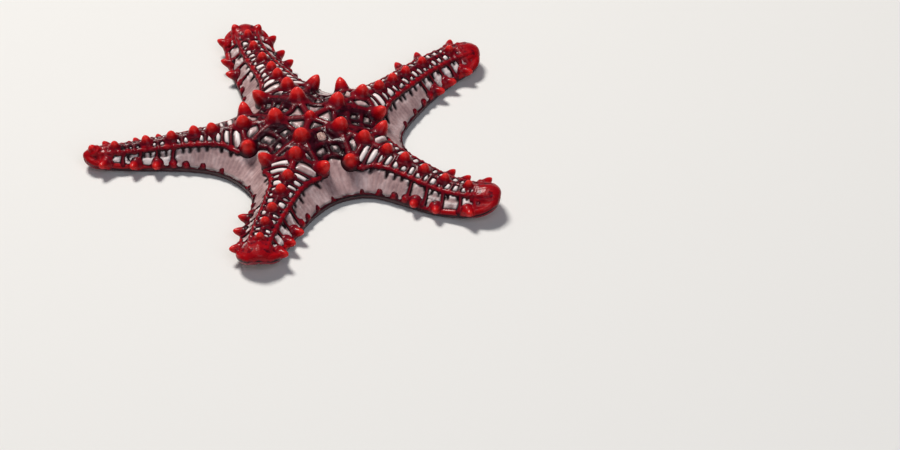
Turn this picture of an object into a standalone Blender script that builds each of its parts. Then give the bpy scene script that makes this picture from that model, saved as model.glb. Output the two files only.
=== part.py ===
# Red-knobbed starfish, a still life-size museum model.
# Blender 4.5:  blender --background --python part.py
#
# The animal lies on its mouth side.  +Z is up, +X to the right and +Y away from the front arm.
# Every length below is in millimetres; MM turns it into the scene's metres.
#
# All five arms share one surface.  It is a function of two numbers:
#   t  the distance from the disc's centre along the arm's heading, up to the arm's length
#   v  the place across the back: -1 at one margin, 0 on the ridge, +1 at the other margin
# The disc is the part with t up to SEAM.  There v = -1 and v = +1 lie half way to the next arm,
# so five sectors close to one disc.

import math
from collections import namedtuple

import bmesh
import bpy
from mathutils import Matrix, Vector

MM = 0.001
WELD = 0.001               # points nearer than this are one point
GAP = 0.3                  # between two solids that meet
SHARP_ANGLE = math.radians(48)

# --- Driving dimensions of the body -----------------------------------------------------------

ARM_COUNT = 5
FIRST_HEADING = -30.3      # degrees, of the front right arm; the others follow at equal angles

DISC_HEIGHT = 24.0         # back of the disc above the ground, at its centre
NOTCH_RADIUS = 50.0        # from the centre to the hollow between two arms
MARGIN_HEIGHT = 4.8        # edge where the back meets the side wall
DOME_POWER = 2.0           # how the back falls from the centre to a notch: 2 is a parabola
DOME_FULLNESS = 1.3        # how long the disc's back stays high beside an arm's middle line
SEAM = 44.0                # an arm is parted from the disc at this distance
TIP_SHARE = 0.81           # an arm's tip is parted from it at this share of its length

RIDGE_AT_SEAM = 20.0       # height of an arm's ridge where it leaves the disc
RIDGE_DROP = 8.6           # how much lower it is at the tip
SLENDER_DROP = 10.0        # and lower still in a slender arm, for the whole girth that it lacks
GIRTH_AT_SEAM = 18.0       # half an arm's width there, without the fillet to the next arm
GIRTH_DROP = 6.6           # how much narrower it is at the tip
SLENDER_TAPER = 8.0        # and narrower still in a slender arm, for the whole girth that it lacks
SHOULDER = 0.45            # the back's shoulder line, as a share of the half width
SHOULDER_HEIGHT = 0.79     # and its height, as a share of the ridge's
ROOF_START = 36.0          # the disc's soft wave turns to an arm's roof shape from here
ROOF_END = 60.0            # to here
TIP_ROUND = 11.0           # length of the round end
TIP_POWER = 2.5            # 2 is an ellipse, more is blunter
TIP_MIDDLE = 4.6           # height of the end point of a tip that lies flat
LIFT_START = 0.70          # from this share of the length on, the tip curls up
BOW_GAIN = 6.75            # makes an arm's bow the reach of its curve, two thirds of the way out

WALL_BULGE = 0.3           # the side wall stands out this far, half way down
WALL_FOOT = 2.2            # and turns under this far, on the ground
GROOVE_HALF_WIDTH = 2.6    # furrow under the arm, at the disc
GROOVE_DEPTH = 3.8
GROOVE_NARROWING = 0.45    # share of both that is lost at the tip
GROOVE_CEILING = 0.55      # the furrow's ceiling is this share of its width
MOUTH_RADIUS = 7.2
MOUTH_RIM = 1.6            # the mouth's side slopes over this far
MOUTH_DEPTH = 5.2
JAW_REACH = 0.24           # how far the five jaws narrow the mouth, as a share of its radius

# name, turn in steps from the first heading, length, girth, bow and sway to the left side,
# lift of the tip, and the shares of the length at which the ridge carries its knobs
Arm = namedtuple("Arm", "name turn length girth bow sway lift knobs")
ARMS = (
    Arm("front_right", 0, 118.0, 1.00, -4.0, 5.5, 7.0, (0.42, 0.52, 0.63, 0.74, 0.86)),
    Arm("back_right", 1, 125.5, 1.00, 7.0, 0.0, 4.0, (0.40, 0.49, 0.58, 0.70, 0.86)),
    Arm("back_left", 2, 114.0, 1.00, 2.0, -4.7, 5.0, (0.43, 0.51, 0.63, 0.76, 0.87)),
    Arm("left", 3, 126.0, 0.78, 0.0, 2.0, 3.0, (0.43, 0.51, 0.61, 0.72, 0.86)),
    Arm("front", 4, 113.5, 0.96, -3.3, 0.0, 6.0, (0.44, 0.54, 0.66, 0.76, 0.88)),
)

# --- Driving dimensions of what grows on the back ----------------------------------------------

KNOB_SIDES = 7
SPINE_SIDES = 6
# share of the height, share of the radius; the first ring is sunk in the body
KNOB_PROFILE = ((-0.30, 1.22), (0.09, 1.12), (0.44, 0.83), (0.78, 0.53))
SPINE_PROFILE = ((-0.30, 1.00), (0.45, 0.82), (0.88, 0.40))

Bump = namedtuple("Bump", "radius height")
CENTRE_KNOB = Bump(3.5, 4.6)
INNER_KNOB = Bump(5.3, 8.2)        # five large ones round the centre
OUTER_KNOB = Bump(4.6, 7.4)        # the next on each ridge
SIDE_KNOB = Bump(4.5, 9.3)         # two beside it, leaning outwards
RIDGE_KNOB = Bump(3.8, 6.1)        # the row along the arm
RIDGE_KNOB_SHRINK = 0.24           # lost by the last of the row
MARGIN_SPINE = Bump(2.5, 6.7)

# how a bump leans, as parts outwards along the arm, sideways and up
INNER_LEAN = (0.20, 0, 1)
OUTER_LEAN = (0.15, 0, 1)
SIDE_LEAN = (0.25, 0.75, 1)
RIDGE_LEAN = (0.12, 0, 1)
SPINE_LEAN = (0.25, 1, 0.36)
SPINE_LEAN_STEP = 0.2              # each spine points further along the arm than the one before
LEAN_SPREAD = 0.10                 # how far a single knob leans off the rule

INNER_KNOB_AT = 18.8               # distance from the centre
OUTER_KNOB_SHARE = 0.295           # share of the arm's length
SIDE_KNOB_AT = 35.0
SIDE_KNOB_OFF = 14.2               # off the arm's middle line
SPINE_SHARES = (0.67, 0.765, 0.895)
SPINE_STAGGER = 0.012              # the left spines stand further out, the right ones nearer
SPINE_ACROSS = 0.95                # just inside the margin

PLATE_RADIUS = 3.0                 # madreporite, the sieve plate
PLATE_AT = 16.5                    # its distance from the centre
PLATE_SUNK = 1.2
PLATE_PROUD = 0.8
# height and radius of the rings of its low dome
PLATE_PROFILE = ((-PLATE_SUNK, PLATE_RADIUS), (PLATE_PROUD * 0.3, PLATE_RADIUS),
                 (PLATE_PROUD * 0.8, PLATE_RADIUS * 0.82), (PLATE_PROUD, PLATE_RADIUS * 0.45))
LIP_MAJOR = 3.0                    # fleshy ring round the mouth
LIP_MINOR = 1.2

# --- Resolution ---------------------------------------------------------------------------------

BACK_COLUMNS = (-1.0, -0.84, -0.63, -0.45, -0.22, 0.0, 0.22, 0.45, 0.63, 0.84, 1.0)
BACK_RINGS = (0.0, 6.0, 12.0, 18.0, 24.0, 30.0, 36.0)
UNDER_RINGS = (0.0, MOUTH_RADIUS - MOUTH_RIM, MOUTH_RADIUS, 14.0, 28.0)
ARM_STATIONS = 9
TIP_STATIONS = 3
END_STATIONS = 4

HALF_SECTOR = math.pi / ARM_COUNT
TAN = math.tan(HALF_SECTOR)
NOTCH_ALONG = NOTCH_RADIUS * math.cos(HALF_SECTOR)
NOTCH_ACROSS = NOTCH_RADIUS * math.sin(HALF_SECTOR)
NOTCH_RINGS = (NOTCH_ALONG, (NOTCH_ALONG + SEAM) / 2, SEAM)

# --- The surface ----------------------------------------------------------------------------------


def smoothstep(x):
    """0 below 0, 1 above 1, and a soft step between."""
    x = min(max(x, 0.0), 1.0)
    return x * x * (3 - 2 * x)


def along(arm, t):
    """0 at the seam with the disc and 1 at the tip."""
    return max(0.0, (t - SEAM) / (arm.length - SEAM))


def end_taper(arm, t):
    """1 along the arm, falling to 0 at the very tip in a blunt round end."""
    into = (t - (arm.length - TIP_ROUND)) / TIP_ROUND
    return (1 - min(max(into, 0.0), 1.0) ** TIP_POWER) ** (1 / TIP_POWER)


def centre_line(arm, t):
    """Sideways place of the arm's middle line, and its slope."""
    s = along(arm, t)
    bend = BOW_GAIN * arm.bow
    side = bend * s * s * (1 - s) + arm.sway * s * s
    slope = (bend * (2 * s - 3 * s * s) + 2 * arm.sway * s) / (arm.length - SEAM)
    return side, slope


def place(arm, t, u, z):
    """Point at t along the arm and u across its middle line, in metres."""
    side, slope = centre_line(arm, t)
    bend = math.atan(slope)
    local = Vector((t - u * math.sin(bend), side + u * math.cos(bend), z))
    heading = math.radians(FIRST_HEADING) + 2 * HALF_SECTOR * arm.turn
    return Matrix.Rotation(heading, 3, "Z") @ local * MM


def girth(arm, t):
    """Half the arm's width, without the fillet to its neighbours and without the round end."""
    drop = GIRTH_DROP + SLENDER_TAPER * (1 - arm.girth)
    return GIRTH_AT_SEAM * arm.girth - drop * along(arm, t)


def fillet(arm, t):
    """What the hollow curve to the next arm adds to the half width, and how fast it fades."""
    spread = NOTCH_ACROSS - girth(arm, NOTCH_ALONG)
    fade = spread * TAN            # so that the outline is square to the line between two arms
    added = spread * math.exp(-(t - NOTCH_ALONG) / fade)
    return added, added / fade


def half_width(arm, t):
    if t <= NOTCH_ALONG:
        return t * TAN
    return (girth(arm, t) + fillet(arm, t)[0]) * end_taper(arm, t)


def dome(radius):
    """Height of the disc's back on the line between two arms."""
    return MARGIN_HEIGHT + (DISC_HEIGHT - MARGIN_HEIGHT) * (1 - (radius / NOTCH_RADIUS) ** DOME_POWER)


def edge_height(t):
    """Height of the back at v = -1 and +1."""
    if t < NOTCH_ALONG:
        return dome(t / math.cos(HALF_SECTOR))
    return MARGIN_HEIGHT


def ridge_height(arm, t):
    if t < SEAM:
        return DISC_HEIGHT - (DISC_HEIGHT - RIDGE_AT_SEAM) * (t / SEAM) ** 2
    drop = RIDGE_DROP + SLENDER_DROP * (1 - arm.girth)
    return RIDGE_AT_SEAM - drop * along(arm, t)


def back_profile(t, v):
    """Share of the ridge's height at v: a soft wave on the disc, a roof with shoulders on an arm."""
    off = abs(v)
    wave = 0.5 + 0.5 * math.cos(math.pi * off ** DOME_FULLNESS)
    if off < SHOULDER:
        roof = 1 - (1 - SHOULDER_HEIGHT) * (off / SHOULDER) ** 2
    else:
        roof = SHOULDER_HEIGHT * (1 - off) / (1 - SHOULDER)
    mix = smoothstep((t - ROOF_START) / (ROOF_END - ROOF_START))
    return wave + (roof - wave) * mix


def settle(arm, t, z):
    """Close a height to the end point near the tip, and curl the tip up."""
    curl = max(0.0, (t / arm.length - LIFT_START) / (1 - LIFT_START))
    return TIP_MIDDLE + (z - TIP_MIDDLE) * end_taper(arm, t) + arm.lift * curl * curl


def back_point(arm, t, v):
    edge = edge_height(t)
    z = edge + (ridge_height(arm, t) - edge) * back_profile(t, v)
    return place(arm, t, v * half_width(arm, t), settle(arm, t, z))


def back_normal(arm, t, v):
    """Outward direction of the back, measured over a small step."""
    step = 0.02
    ahead = back_point(arm, t + step, v) - back_point(arm, t - step, v)
    across = back_point(arm, t, v + step) - back_point(arm, t, v - step)
    return ahead.cross(across).normalized()


def wall_point(arm, t, side, inset, z):
    """Point of the side wall, moved inwards by inset, square to the outline."""
    turn = max(0.0, (SEAM - t) / (SEAM - NOTCH_ALONG))
    step = Vector((turn * math.cos(HALF_SECTOR), turn * math.sin(HALF_SECTOR) + 1 - turn))
    step.normalize()
    outline = Vector((fillet(arm, t)[1], 1.0)).normalized()
    step *= inset * end_taper(arm, t) / step.dot(outline)
    across = side * (half_width(arm, t) - step.y)
    return place(arm, t - step.x, across, settle(arm, t, z))


def under_columns(arm, t):
    """The underside at t, from the foot of the wall on one side to the foot on the other."""
    fade = (1 - GROOVE_NARROWING * along(arm, t)) * end_taper(arm, t)
    wide = GROOVE_HALF_WIDTH * fade
    deep = GROOVE_DEPTH * fade
    ground = 0.0
    if t < MOUTH_RADIUS:
        deep = ground = MOUTH_DEPTH
    row = []
    for side in (1, -1):
        if t >= NOTCH_ALONG:
            foot = wall_point(arm, t, side, WALL_FOOT, ground)
            rim = place(arm, t, side * wide, settle(arm, t, ground))
            half = [foot, (foot + rim) / 2, rim]
        else:
            half = []
            for share in (1.0, 0.5, 0.0):
                near = t * (1 - JAW_REACH * share) if t <= MOUTH_RADIUS else t
                edge = min(wide, near * TAN)
                half.append(place(arm, near, side * (edge + (near * TAN - edge) * share), ground))
        half.append(place(arm, t, side * min(wide, t * TAN) * GROOVE_CEILING, settle(arm, t, deep)))
        row.append(half)
    return row[0] + [place(arm, t, 0.0, settle(arm, t, deep))] + row[1][::-1]


def section(arm, t):
    """The closed outline of an arm cut across at t."""
    back = [back_point(arm, t, v) for v in BACK_COLUMNS]
    bulges = [wall_point(arm, t, side, -WALL_BULGE, MARGIN_HEIGHT / 2) for side in (1, -1)]
    return back + bulges[:1] + under_columns(arm, t) + bulges[1:]


# --- Turning points into solids -------------------------------------------------------------------


def add_sheet(bm, rows):
    """Quads between rows of points; rows that meet in one point are welded later."""
    grid = [[bm.verts.new(point) for point in row] for row in rows]
    for near, far in zip(grid, grid[1:]):
        for i in range(len(near) - 1):
            bm.faces.new((near[i], near[i + 1], far[i + 1], far[i]))


def add_cap(bm, points):
    bm.faces.new([bm.verts.new(point) for point in points])


def material(name, colour, roughness):
    made = bpy.data.materials.new(name)
    made.use_nodes = True
    shader = made.node_tree.nodes["Principled BSDF"]
    shader.inputs["Base Color"].default_value = (*colour, 1.0)
    shader.inputs["Roughness"].default_value = roughness
    shader.inputs["Metallic"].default_value = 0.0
    return made


def solid(bm, name, finish):
    """Weld the mesh, turn its faces outwards and make it an object."""
    bmesh.ops.remove_doubles(bm, verts=bm.verts, dist=WELD * MM)
    bmesh.ops.recalc_face_normals(bm, faces=bm.faces)
    mesh = bpy.data.meshes.new(name)
    bm.to_mesh(mesh)
    bm.free()
    mesh.shade_smooth()
    mesh.set_sharp_from_angle(angle=SHARP_ANGLE)
    mesh.materials.append(finish)
    made = bpy.data.objects.new(name, mesh)
    bpy.context.collection.objects.link(made)
    return made


def add_bump(bm, foot, direction, bump, profile, sides):
    """A blunt cone that stands on foot along direction, sunk a little in the body."""
    turn = direction.to_track_quat("Z", "Y").to_matrix()
    rows = []
    for share, wide in profile:
        row = []
        for i in range(sides + 1):
            angle = 2 * math.pi * (i % sides) / sides
            reach = bump.radius * wide
            spot = Vector((reach * math.cos(angle), reach * math.sin(angle), bump.height * share))
            row.append(foot + turn @ spot * MM)
        rows.append(row)
    top = foot + turn @ Vector((0, 0, bump.height)) * MM
    rows.append([top] * (sides + 1))
    add_sheet(bm, rows)
    add_cap(bm, rows[0][:sides])


def heading_vector(arm, t, way):
    """Direction whose parts are given outwards along the arm, to its left side, and up."""
    _, slope = centre_line(arm, t)
    heading = math.radians(FIRST_HEADING) + 2 * HALF_SECTOR * arm.turn + math.atan(slope)
    return Matrix.Rotation(heading, 3, "Z") @ Vector(way).normalized()


def lean(arm, order, way, sideways=1):
    """A bump's lean with a little more or less of it, different for each knob.

    The part to the side is added as it is (1), mirrored (-1) or left out (0).
    """
    out = LEAN_SPREAD * math.sin(2.3 * order + 1.7 * arm.turn)
    left = LEAN_SPREAD * math.cos(3.1 * order + arm.turn)
    return way[0] + out, way[1] + sideways * left, way[2]


def add_disc_knobs(bm):
    top = Vector((0, 0, DISC_HEIGHT * MM))
    add_bump(bm, top, Vector((0, 0, 1)), CENTRE_KNOB, KNOB_PROFILE, KNOB_SIDES)
    for arm in ARMS:
        t = INNER_KNOB_AT
        way = heading_vector(arm, t, lean(arm, 0, INNER_LEAN))
        add_bump(bm, back_point(arm, t, 0), way, INNER_KNOB, KNOB_PROFILE, KNOB_SIDES)
        t = OUTER_KNOB_SHARE * arm.length
        way = heading_vector(arm, t, lean(arm, 0, OUTER_LEAN, -1))
        add_bump(bm, back_point(arm, t, 0), way, OUTER_KNOB, KNOB_PROFILE, KNOB_SIDES)
        out, left, up = lean(arm, 0, SIDE_LEAN, 0)
        for side in (1, -1):
            v = side * SIDE_KNOB_OFF / half_width(arm, SIDE_KNOB_AT)
            way = heading_vector(arm, SIDE_KNOB_AT, (out, side * left, up))
            foot = back_point(arm, SIDE_KNOB_AT, v)
            add_bump(bm, foot, way, SIDE_KNOB, KNOB_PROFILE, KNOB_SIDES)


def add_ridge_knobs(bm, arm, start, end):
    """The knobs of the arm's middle row between two distances."""
    for order, share in enumerate(arm.knobs):
        t = share * arm.length
        if not start < t < end:
            continue
        size = 1 - RIDGE_KNOB_SHRINK * order / (len(arm.knobs) - 1)
        bump = Bump(RIDGE_KNOB.radius * size, RIDGE_KNOB.height * size)
        way = heading_vector(arm, t, lean(arm, order + 1, RIDGE_LEAN))
        add_bump(bm, back_point(arm, t, 0), way, bump, KNOB_PROFILE, KNOB_SIDES)


def add_margin_spines(bm, arm, start, end):
    """The spines that stand out of the arm's margins between two distances."""
    out, left, up = SPINE_LEAN
    for order, share in enumerate(SPINE_SHARES):
        for side in (1, -1):
            t = (share + SPINE_STAGGER * side) * arm.length
            if not start < t < end:
                continue
            way = heading_vector(arm, t, (out + SPINE_LEAN_STEP * order, side * left, up))
            foot = back_point(arm, t, side * SPINE_ACROSS)
            add_bump(bm, foot, way, MARGIN_SPINE, SPINE_PROFILE, SPINE_SIDES)


def join(node, tool_mesh, operation):
    """Unite a solid with the shapes in a mesh, or cut them out of it."""
    tool = solid(tool_mesh, node.name + "_" + operation.lower(), node.data.materials[0])
    tool.hide_render = True
    tool.display_type = "WIRE"
    boolean = node.modifiers.new(operation.title(), "BOOLEAN")
    boolean.operation = operation
    boolean.solver = "EXACT"
    boolean.object = tool


# --- The pieces -----------------------------------------------------------------------------------


def make_disc(skin):
    bm = bmesh.new()
    for arm in ARMS:
        add_sheet(bm, [[back_point(arm, t, v) for v in BACK_COLUMNS] for t in BACK_RINGS + NOTCH_RINGS])
        add_sheet(bm, [under_columns(arm, t) for t in UNDER_RINGS + NOTCH_RINGS])
        for side in (1, -1):
            add_sheet(bm, [[back_point(arm, t, side),
                            wall_point(arm, t, side, -WALL_BULGE, MARGIN_HEIGHT / 2),
                            wall_point(arm, t, side, WALL_FOOT, 0.0)] for t in NOTCH_RINGS])
        add_cap(bm, section(arm, SEAM))
    disc = solid(bm, "disc", skin)
    knobs = bmesh.new()
    add_disc_knobs(knobs)
    join(disc, knobs, "UNION")
    pocket = bmesh.new()
    add_turned(pocket, plate_frame(), ((-PLATE_SUNK - GAP, PLATE_RADIUS + GAP),
                                       (3 * PLATE_PROUD, PLATE_RADIUS + GAP)))
    join(disc, pocket, "DIFFERENCE")


def make_arm(arm, skin):
    start = SEAM + GAP
    end = TIP_SHARE * arm.length
    bm = bmesh.new()
    add_tube(bm, arm, [start + (end - start) * i / ARM_STATIONS for i in range(ARM_STATIONS + 1)])
    node = solid(bm, "arm_" + arm.name, skin)
    bumps = bmesh.new()
    add_ridge_knobs(bumps, arm, start, end)
    add_margin_spines(bumps, arm, start, end)
    join(node, bumps, "UNION")


def make_tip(arm, skin):
    start = TIP_SHARE * arm.length + GAP
    bend = arm.length - TIP_ROUND
    stations = [start + (bend - start) * i / TIP_STATIONS for i in range(TIP_STATIONS)]
    for i in range(END_STATIONS + 1):
        stations.append(bend + TIP_ROUND * math.sin(math.pi / 2 * i / END_STATIONS))
    bm = bmesh.new()
    add_tube(bm, arm, stations)
    node = solid(bm, "tip_" + arm.name, skin)
    bumps = bmesh.new()
    add_ridge_knobs(bumps, arm, start, arm.length)
    add_margin_spines(bumps, arm, start, arm.length)
    join(node, bumps, "UNION")


def add_tube(bm, arm, stations):
    """A stretch of arm through the given stations; its end is round where the arm ends."""
    loops = [section(arm, t) for t in stations]
    add_sheet(bm, [loop + loop[:1] for loop in loops])
    add_cap(bm, loops[0])
    if stations[-1] < arm.length - WELD:
        add_cap(bm, loops[-1])


def plate_frame():
    """Where the sieve plate lies: on the disc, between the front arm and the one to its right."""
    angle = math.radians(FIRST_HEADING) - HALF_SECTOR
    step = 0.1
    slope = (dome(PLATE_AT + step) - dome(PLATE_AT - step)) / (2 * step)
    outwards = Vector((math.cos(angle), math.sin(angle), 0))
    spot = (outwards * PLATE_AT + Vector((0, 0, dome(PLATE_AT)))) * MM
    normal = (Vector((0, 0, 1)) - outwards * slope).normalized()
    return Matrix.Translation(spot) @ normal.to_track_quat("Z", "Y").to_matrix().to_4x4()


def add_turned(bm, frame, profile, sides=16):
    """A turned solid: rings of (height, radius) on the frame's Z axis, closed at both ends."""
    rows = []
    for height, radius in profile:
        angles = [2 * math.pi * (i % sides) / sides for i in range(sides + 1)]
        ring = [Vector((radius * math.cos(a), radius * math.sin(a), height)) * MM for a in angles]
        rows.append([frame @ point for point in ring])
    add_sheet(bm, rows)
    add_cap(bm, rows[0][:sides])
    add_cap(bm, rows[-1][:sides])


def make_plate(finish):
    bm = bmesh.new()
    add_turned(bm, plate_frame(), PLATE_PROFILE)
    solid(bm, "madreporite", finish)


def make_mouth(finish, around=16, across=6):
    """The fleshy lip: a ring that hangs in the mouth, clear of its ceiling."""
    height = MOUTH_DEPTH - GAP - LIP_MINOR
    rows = []
    for i in range(around + 1):
        turn = 2 * math.pi * (i % around) / around
        row = []
        for j in range(across + 1):
            roll = 2 * math.pi * (j % across) / across
            reach = LIP_MAJOR + LIP_MINOR * math.cos(roll)
            point = Vector((reach * math.cos(turn), reach * math.sin(turn),
                            height + LIP_MINOR * math.sin(roll)))
            row.append(point * MM)
        rows.append(row)
    bm = bmesh.new()
    add_sheet(bm, rows)
    solid(bm, "mouth", finish)


def centre_on_origin():
    """Hang every piece on one empty, placed so that the origin is under the middle of the whole."""
    bpy.context.view_layer.update()
    graph = bpy.context.evaluated_depsgraph_get()
    corners = []
    for piece in bpy.data.objects:
        if not piece.hide_render:
            mesh = piece.evaluated_get(graph).to_mesh()
            corners += [piece.matrix_world @ vertex.co for vertex in mesh.vertices]
    low = Vector([min(corner[i] for corner in corners) for i in range(3)])
    high = Vector([max(corner[i] for corner in corners) for i in range(3)])
    pieces = list(bpy.data.objects)
    base = bpy.data.objects.new("starfish", None)
    bpy.context.collection.objects.link(base)
    for piece in pieces:
        piece.parent = base
    base.location = (-(low.x + high.x) / 2, -(low.y + high.y) / 2, -low.z)


def main():
    for old in list(bpy.data.objects):
        bpy.data.objects.remove(old, do_unlink=True)
    skin = material("netted_skin", (0.34, 0.20, 0.21), 0.40)
    red = material("tip_red", (0.50, 0.02, 0.04), 0.35)
    plate = material("madreporite", (0.55, 0.36, 0.32), 0.60)
    lip = material("mouth", (0.62, 0.42, 0.38), 0.50)
    make_disc(skin)
    for arm in ARMS:
        make_arm(arm, skin)
        make_tip(arm, red)
    make_plate(plate)
    make_mouth(lip)
    centre_on_origin()


main()
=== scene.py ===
# %% [markdown]
# # A red-knobbed starfish for a museum case
#
# The real animal is a tough wet skin over hundreds of small limy plates.  Its back is grey and
# carries a raised red net.  Where the cords of the net meet stand tall red knobs, and red spines
# line the outer margins of the arms.  We build one skin, a net over the disc and one over each arm,
# and the small pieces of the underside.  First we load the solid model, which fixes size and place.

# %% Load the solid model
import math
import random
from collections import namedtuple

import bpy
import numpy as np
from mathutils import Matrix, Vector, kdtree, noise


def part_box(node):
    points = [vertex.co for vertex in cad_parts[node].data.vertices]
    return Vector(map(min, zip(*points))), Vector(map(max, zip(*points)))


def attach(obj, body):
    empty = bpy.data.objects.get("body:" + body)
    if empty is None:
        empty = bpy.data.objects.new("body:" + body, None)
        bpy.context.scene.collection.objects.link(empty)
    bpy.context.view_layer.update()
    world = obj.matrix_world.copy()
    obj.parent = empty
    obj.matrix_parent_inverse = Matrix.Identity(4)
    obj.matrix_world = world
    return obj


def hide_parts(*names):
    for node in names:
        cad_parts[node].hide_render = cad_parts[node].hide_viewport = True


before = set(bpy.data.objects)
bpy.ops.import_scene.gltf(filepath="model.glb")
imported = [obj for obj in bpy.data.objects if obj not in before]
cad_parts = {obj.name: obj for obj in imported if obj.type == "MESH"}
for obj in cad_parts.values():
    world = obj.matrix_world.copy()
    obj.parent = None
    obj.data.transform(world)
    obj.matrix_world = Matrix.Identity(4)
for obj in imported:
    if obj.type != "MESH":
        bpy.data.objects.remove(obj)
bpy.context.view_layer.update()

print("solid pieces:", ", ".join(sorted(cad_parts)))

# %% [markdown]
# ## The shape that everything follows
#
# The solids were made from one formula for the surface of an arm, so the skin can use the same
# formula with many more points.  A place on the back is given by t, the distance from the middle of
# the disc along the arm in millimetres, and v, which is -1 and +1 at the margins and 0 on the ridge.
# The formula needs the sizes of the body.  They are the solids' own.

# %% Sizes of the disc and the arms, in millimetres
MM = 0.001
ARM_COUNT = 5
FIRST_HEADING = -30.3    # in degrees: where the first arm points
DISC_HEIGHT = 24.0
NOTCH_RADIUS = 50.0      # from the middle to the notch between two arms
MARGIN_HEIGHT = 4.8      # the margin is the edge between the back and the side wall
DOME_POWER = 2.0         # how the dome falls from the middle to a notch; 2 is a parabola
DOME_FULLNESS = 1.3      # above 1, the dome is broader across than a cosine wave
SEAM = 44.0              # where the disc ends and an arm begins
RIDGE_AT_SEAM = 20.0     # height of the ridge there
RIDGE_DROP = 8.6         # how much lower it is at the tip
SLENDER_DROP = 10.0      # what a slender arm adds to that
GIRTH_AT_SEAM = 18.0     # half the width of an arm at the seam, without the hollow curve
GIRTH_DROP = 6.6         # how much narrower it is at the tip
SLENDER_TAPER = 8.0      # what a slender arm adds to that
SHOULDER = 0.45          # an arm's roof bends at this share of the half width
SHOULDER_HEIGHT = 0.79   # and at this share of the height
ROOF_START = 36.0        # between these two distances the dome turns into that roof
ROOF_END = 60.0
TIP_ROUND = 11.0         # length of the rounded end of an arm
TIP_POWER = 2.5          # 2 would round it like a circle; more makes it blunt
TIP_MIDDLE = 4.6         # the rounded end closes towards this height
LIFT_START = 0.70        # share of an arm's length after which it curls up
BOW_GAIN = 27 / 4        # makes an arm's bow its greatest sideways bulge
print("the disc is", DISC_HEIGHT, "mm high, and its notches lie", NOTCH_RADIUS, "mm from its middle")

# %% [markdown]
# Each arm has its own turn round the disc, length and girth.  Its bow bends it sideways in the
# middle, its sway moves the tip sideways, and its lift raises the tip, all in millimetres.  The last
# list says at which shares of the length the ridge knobs stand.  The skin's arms end a little short,
# to leave room for the net over them.

# %% The five arms
TRIM = 1.0
Arm = namedtuple("Arm", "name turn length girth bow sway lift knobs")
ARMS = (
    Arm("front_right", 0, 118.0 - TRIM, 1.00, -4.0, 5.5, 7.0, (0.42, 0.52, 0.63, 0.74, 0.86)),
    Arm("back_right", 1, 125.5 - TRIM, 1.00, 7.0, 0.0, 4.0, (0.40, 0.49, 0.58, 0.70, 0.86)),
    Arm("back_left", 2, 114.0 - TRIM, 1.00, 2.0, -4.7, 5.0, (0.43, 0.51, 0.63, 0.76, 0.87)),
    Arm("left", 3, 126.0 - TRIM, 0.78, 0.0, 2.0, 3.0, (0.43, 0.51, 0.61, 0.72, 0.86)),
    Arm("front", 4, 113.5 - TRIM, 0.96, -3.3, 0.0, 6.0, (0.44, 0.54, 0.66, 0.76, 0.88)),
)
HALF_SECTOR = math.pi / ARM_COUNT                        # each arm owns a fifth of the circle
TAN = math.tan(HALF_SECTOR)
NOTCH_ALONG = NOTCH_RADIUS * math.cos(HALF_SECTOR)       # the notch, seen from the arm's own line
NOTCH_ACROSS = NOTCH_RADIUS * math.sin(HALF_SECTOR)
mouth_low, mouth_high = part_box("mouth")                  # the mouth lies in the middle of the disc
CENTRE = [(low + high) / 2 for low, high in zip(mouth_low, mouth_high)]
print("middle of the disc, mm:", [round(c / MM, 2) for c in CENTRE[:2]])

# %% [markdown]
# ### How an arm runs
#
# A middle line runs out from the disc and bends.  Every later point is placed by its distance along
# that line, its distance across it, and its height.  The functions work on one number or on a whole
# array of them, which makes thousands of corners quick.

# %% The middle line of an arm


def smoothstep(x):
    x = np.clip(x, 0.0, 1.0)
    return x * x * (3 - 2 * x)


def along(arm, t):
    """0 on the disc, then rising to 1 at the tip."""
    return np.maximum(0.0, (t - SEAM) / (arm.length - SEAM))


def centre_line(arm, t):
    """Sideways place of the arm's middle line, and its slope."""
    s = along(arm, t)
    bend = BOW_GAIN * arm.bow
    side = bend * s * s * (1 - s) + arm.sway * s * s
    slope = (bend * (2 * s - 3 * s * s) + 2 * arm.sway * s) / (arm.length - SEAM)
    return side, slope


def heading(arm):
    return math.radians(FIRST_HEADING) + 2 * HALF_SECTOR * arm.turn


def place(arm, t, u, z):
    """Points at t along the arm, u across its middle line and z up, in metres."""
    side, slope = centre_line(arm, t)
    bend = np.arctan(slope)
    x = t - u * np.sin(bend)
    y = side + u * np.cos(bend)
    turn = heading(arm)
    return np.stack((CENTRE[0] + (x * math.cos(turn) - y * math.sin(turn)) * MM,
                     CENTRE[1] + (x * math.sin(turn) + y * math.cos(turn)) * MM,
                     (z + 0 * x) * MM), axis=-1)


print("end of the front arm, mm:", np.round(place(ARMS[4], ARMS[4].length, 0.0, 0.0) / MM, 1))

# %% [markdown]
# ### How wide it is
#
# An arm tapers, ends round, and runs into the next arm in a hollow curve.  That curve is a fillet
# that fades as we leave the notch.  On the disc, an arm simply owns its fifth of the circle.

# %% Width of an arm


def end_taper(arm, t):
    into = np.clip((t - (arm.length - TIP_ROUND)) / TIP_ROUND, 0.0, 1.0)
    return (1 - into ** TIP_POWER) ** (1 / TIP_POWER)


def girth(arm, t):
    drop = GIRTH_DROP + SLENDER_TAPER * (1 - arm.girth)
    return GIRTH_AT_SEAM * arm.girth - drop * along(arm, t)


def fillet(arm, t):
    """What the hollow curve to the next arm adds to the half width, and how fast it fades."""
    spread = NOTCH_ACROSS - girth(arm, NOTCH_ALONG)
    added = spread * np.exp(-(np.maximum(t, NOTCH_ALONG) - NOTCH_ALONG) / (spread * TAN))
    return added, added / (spread * TAN)


def half_width(arm, t):
    wide = (girth(arm, t) + fillet(arm, t)[0]) * end_taper(arm, t)
    return np.where(t <= NOTCH_ALONG, t * TAN, wide)


print("half widths of the front arm, mm:", np.round(half_width(ARMS[4], np.array((44, 70, 95, 108))), 1))

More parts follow.
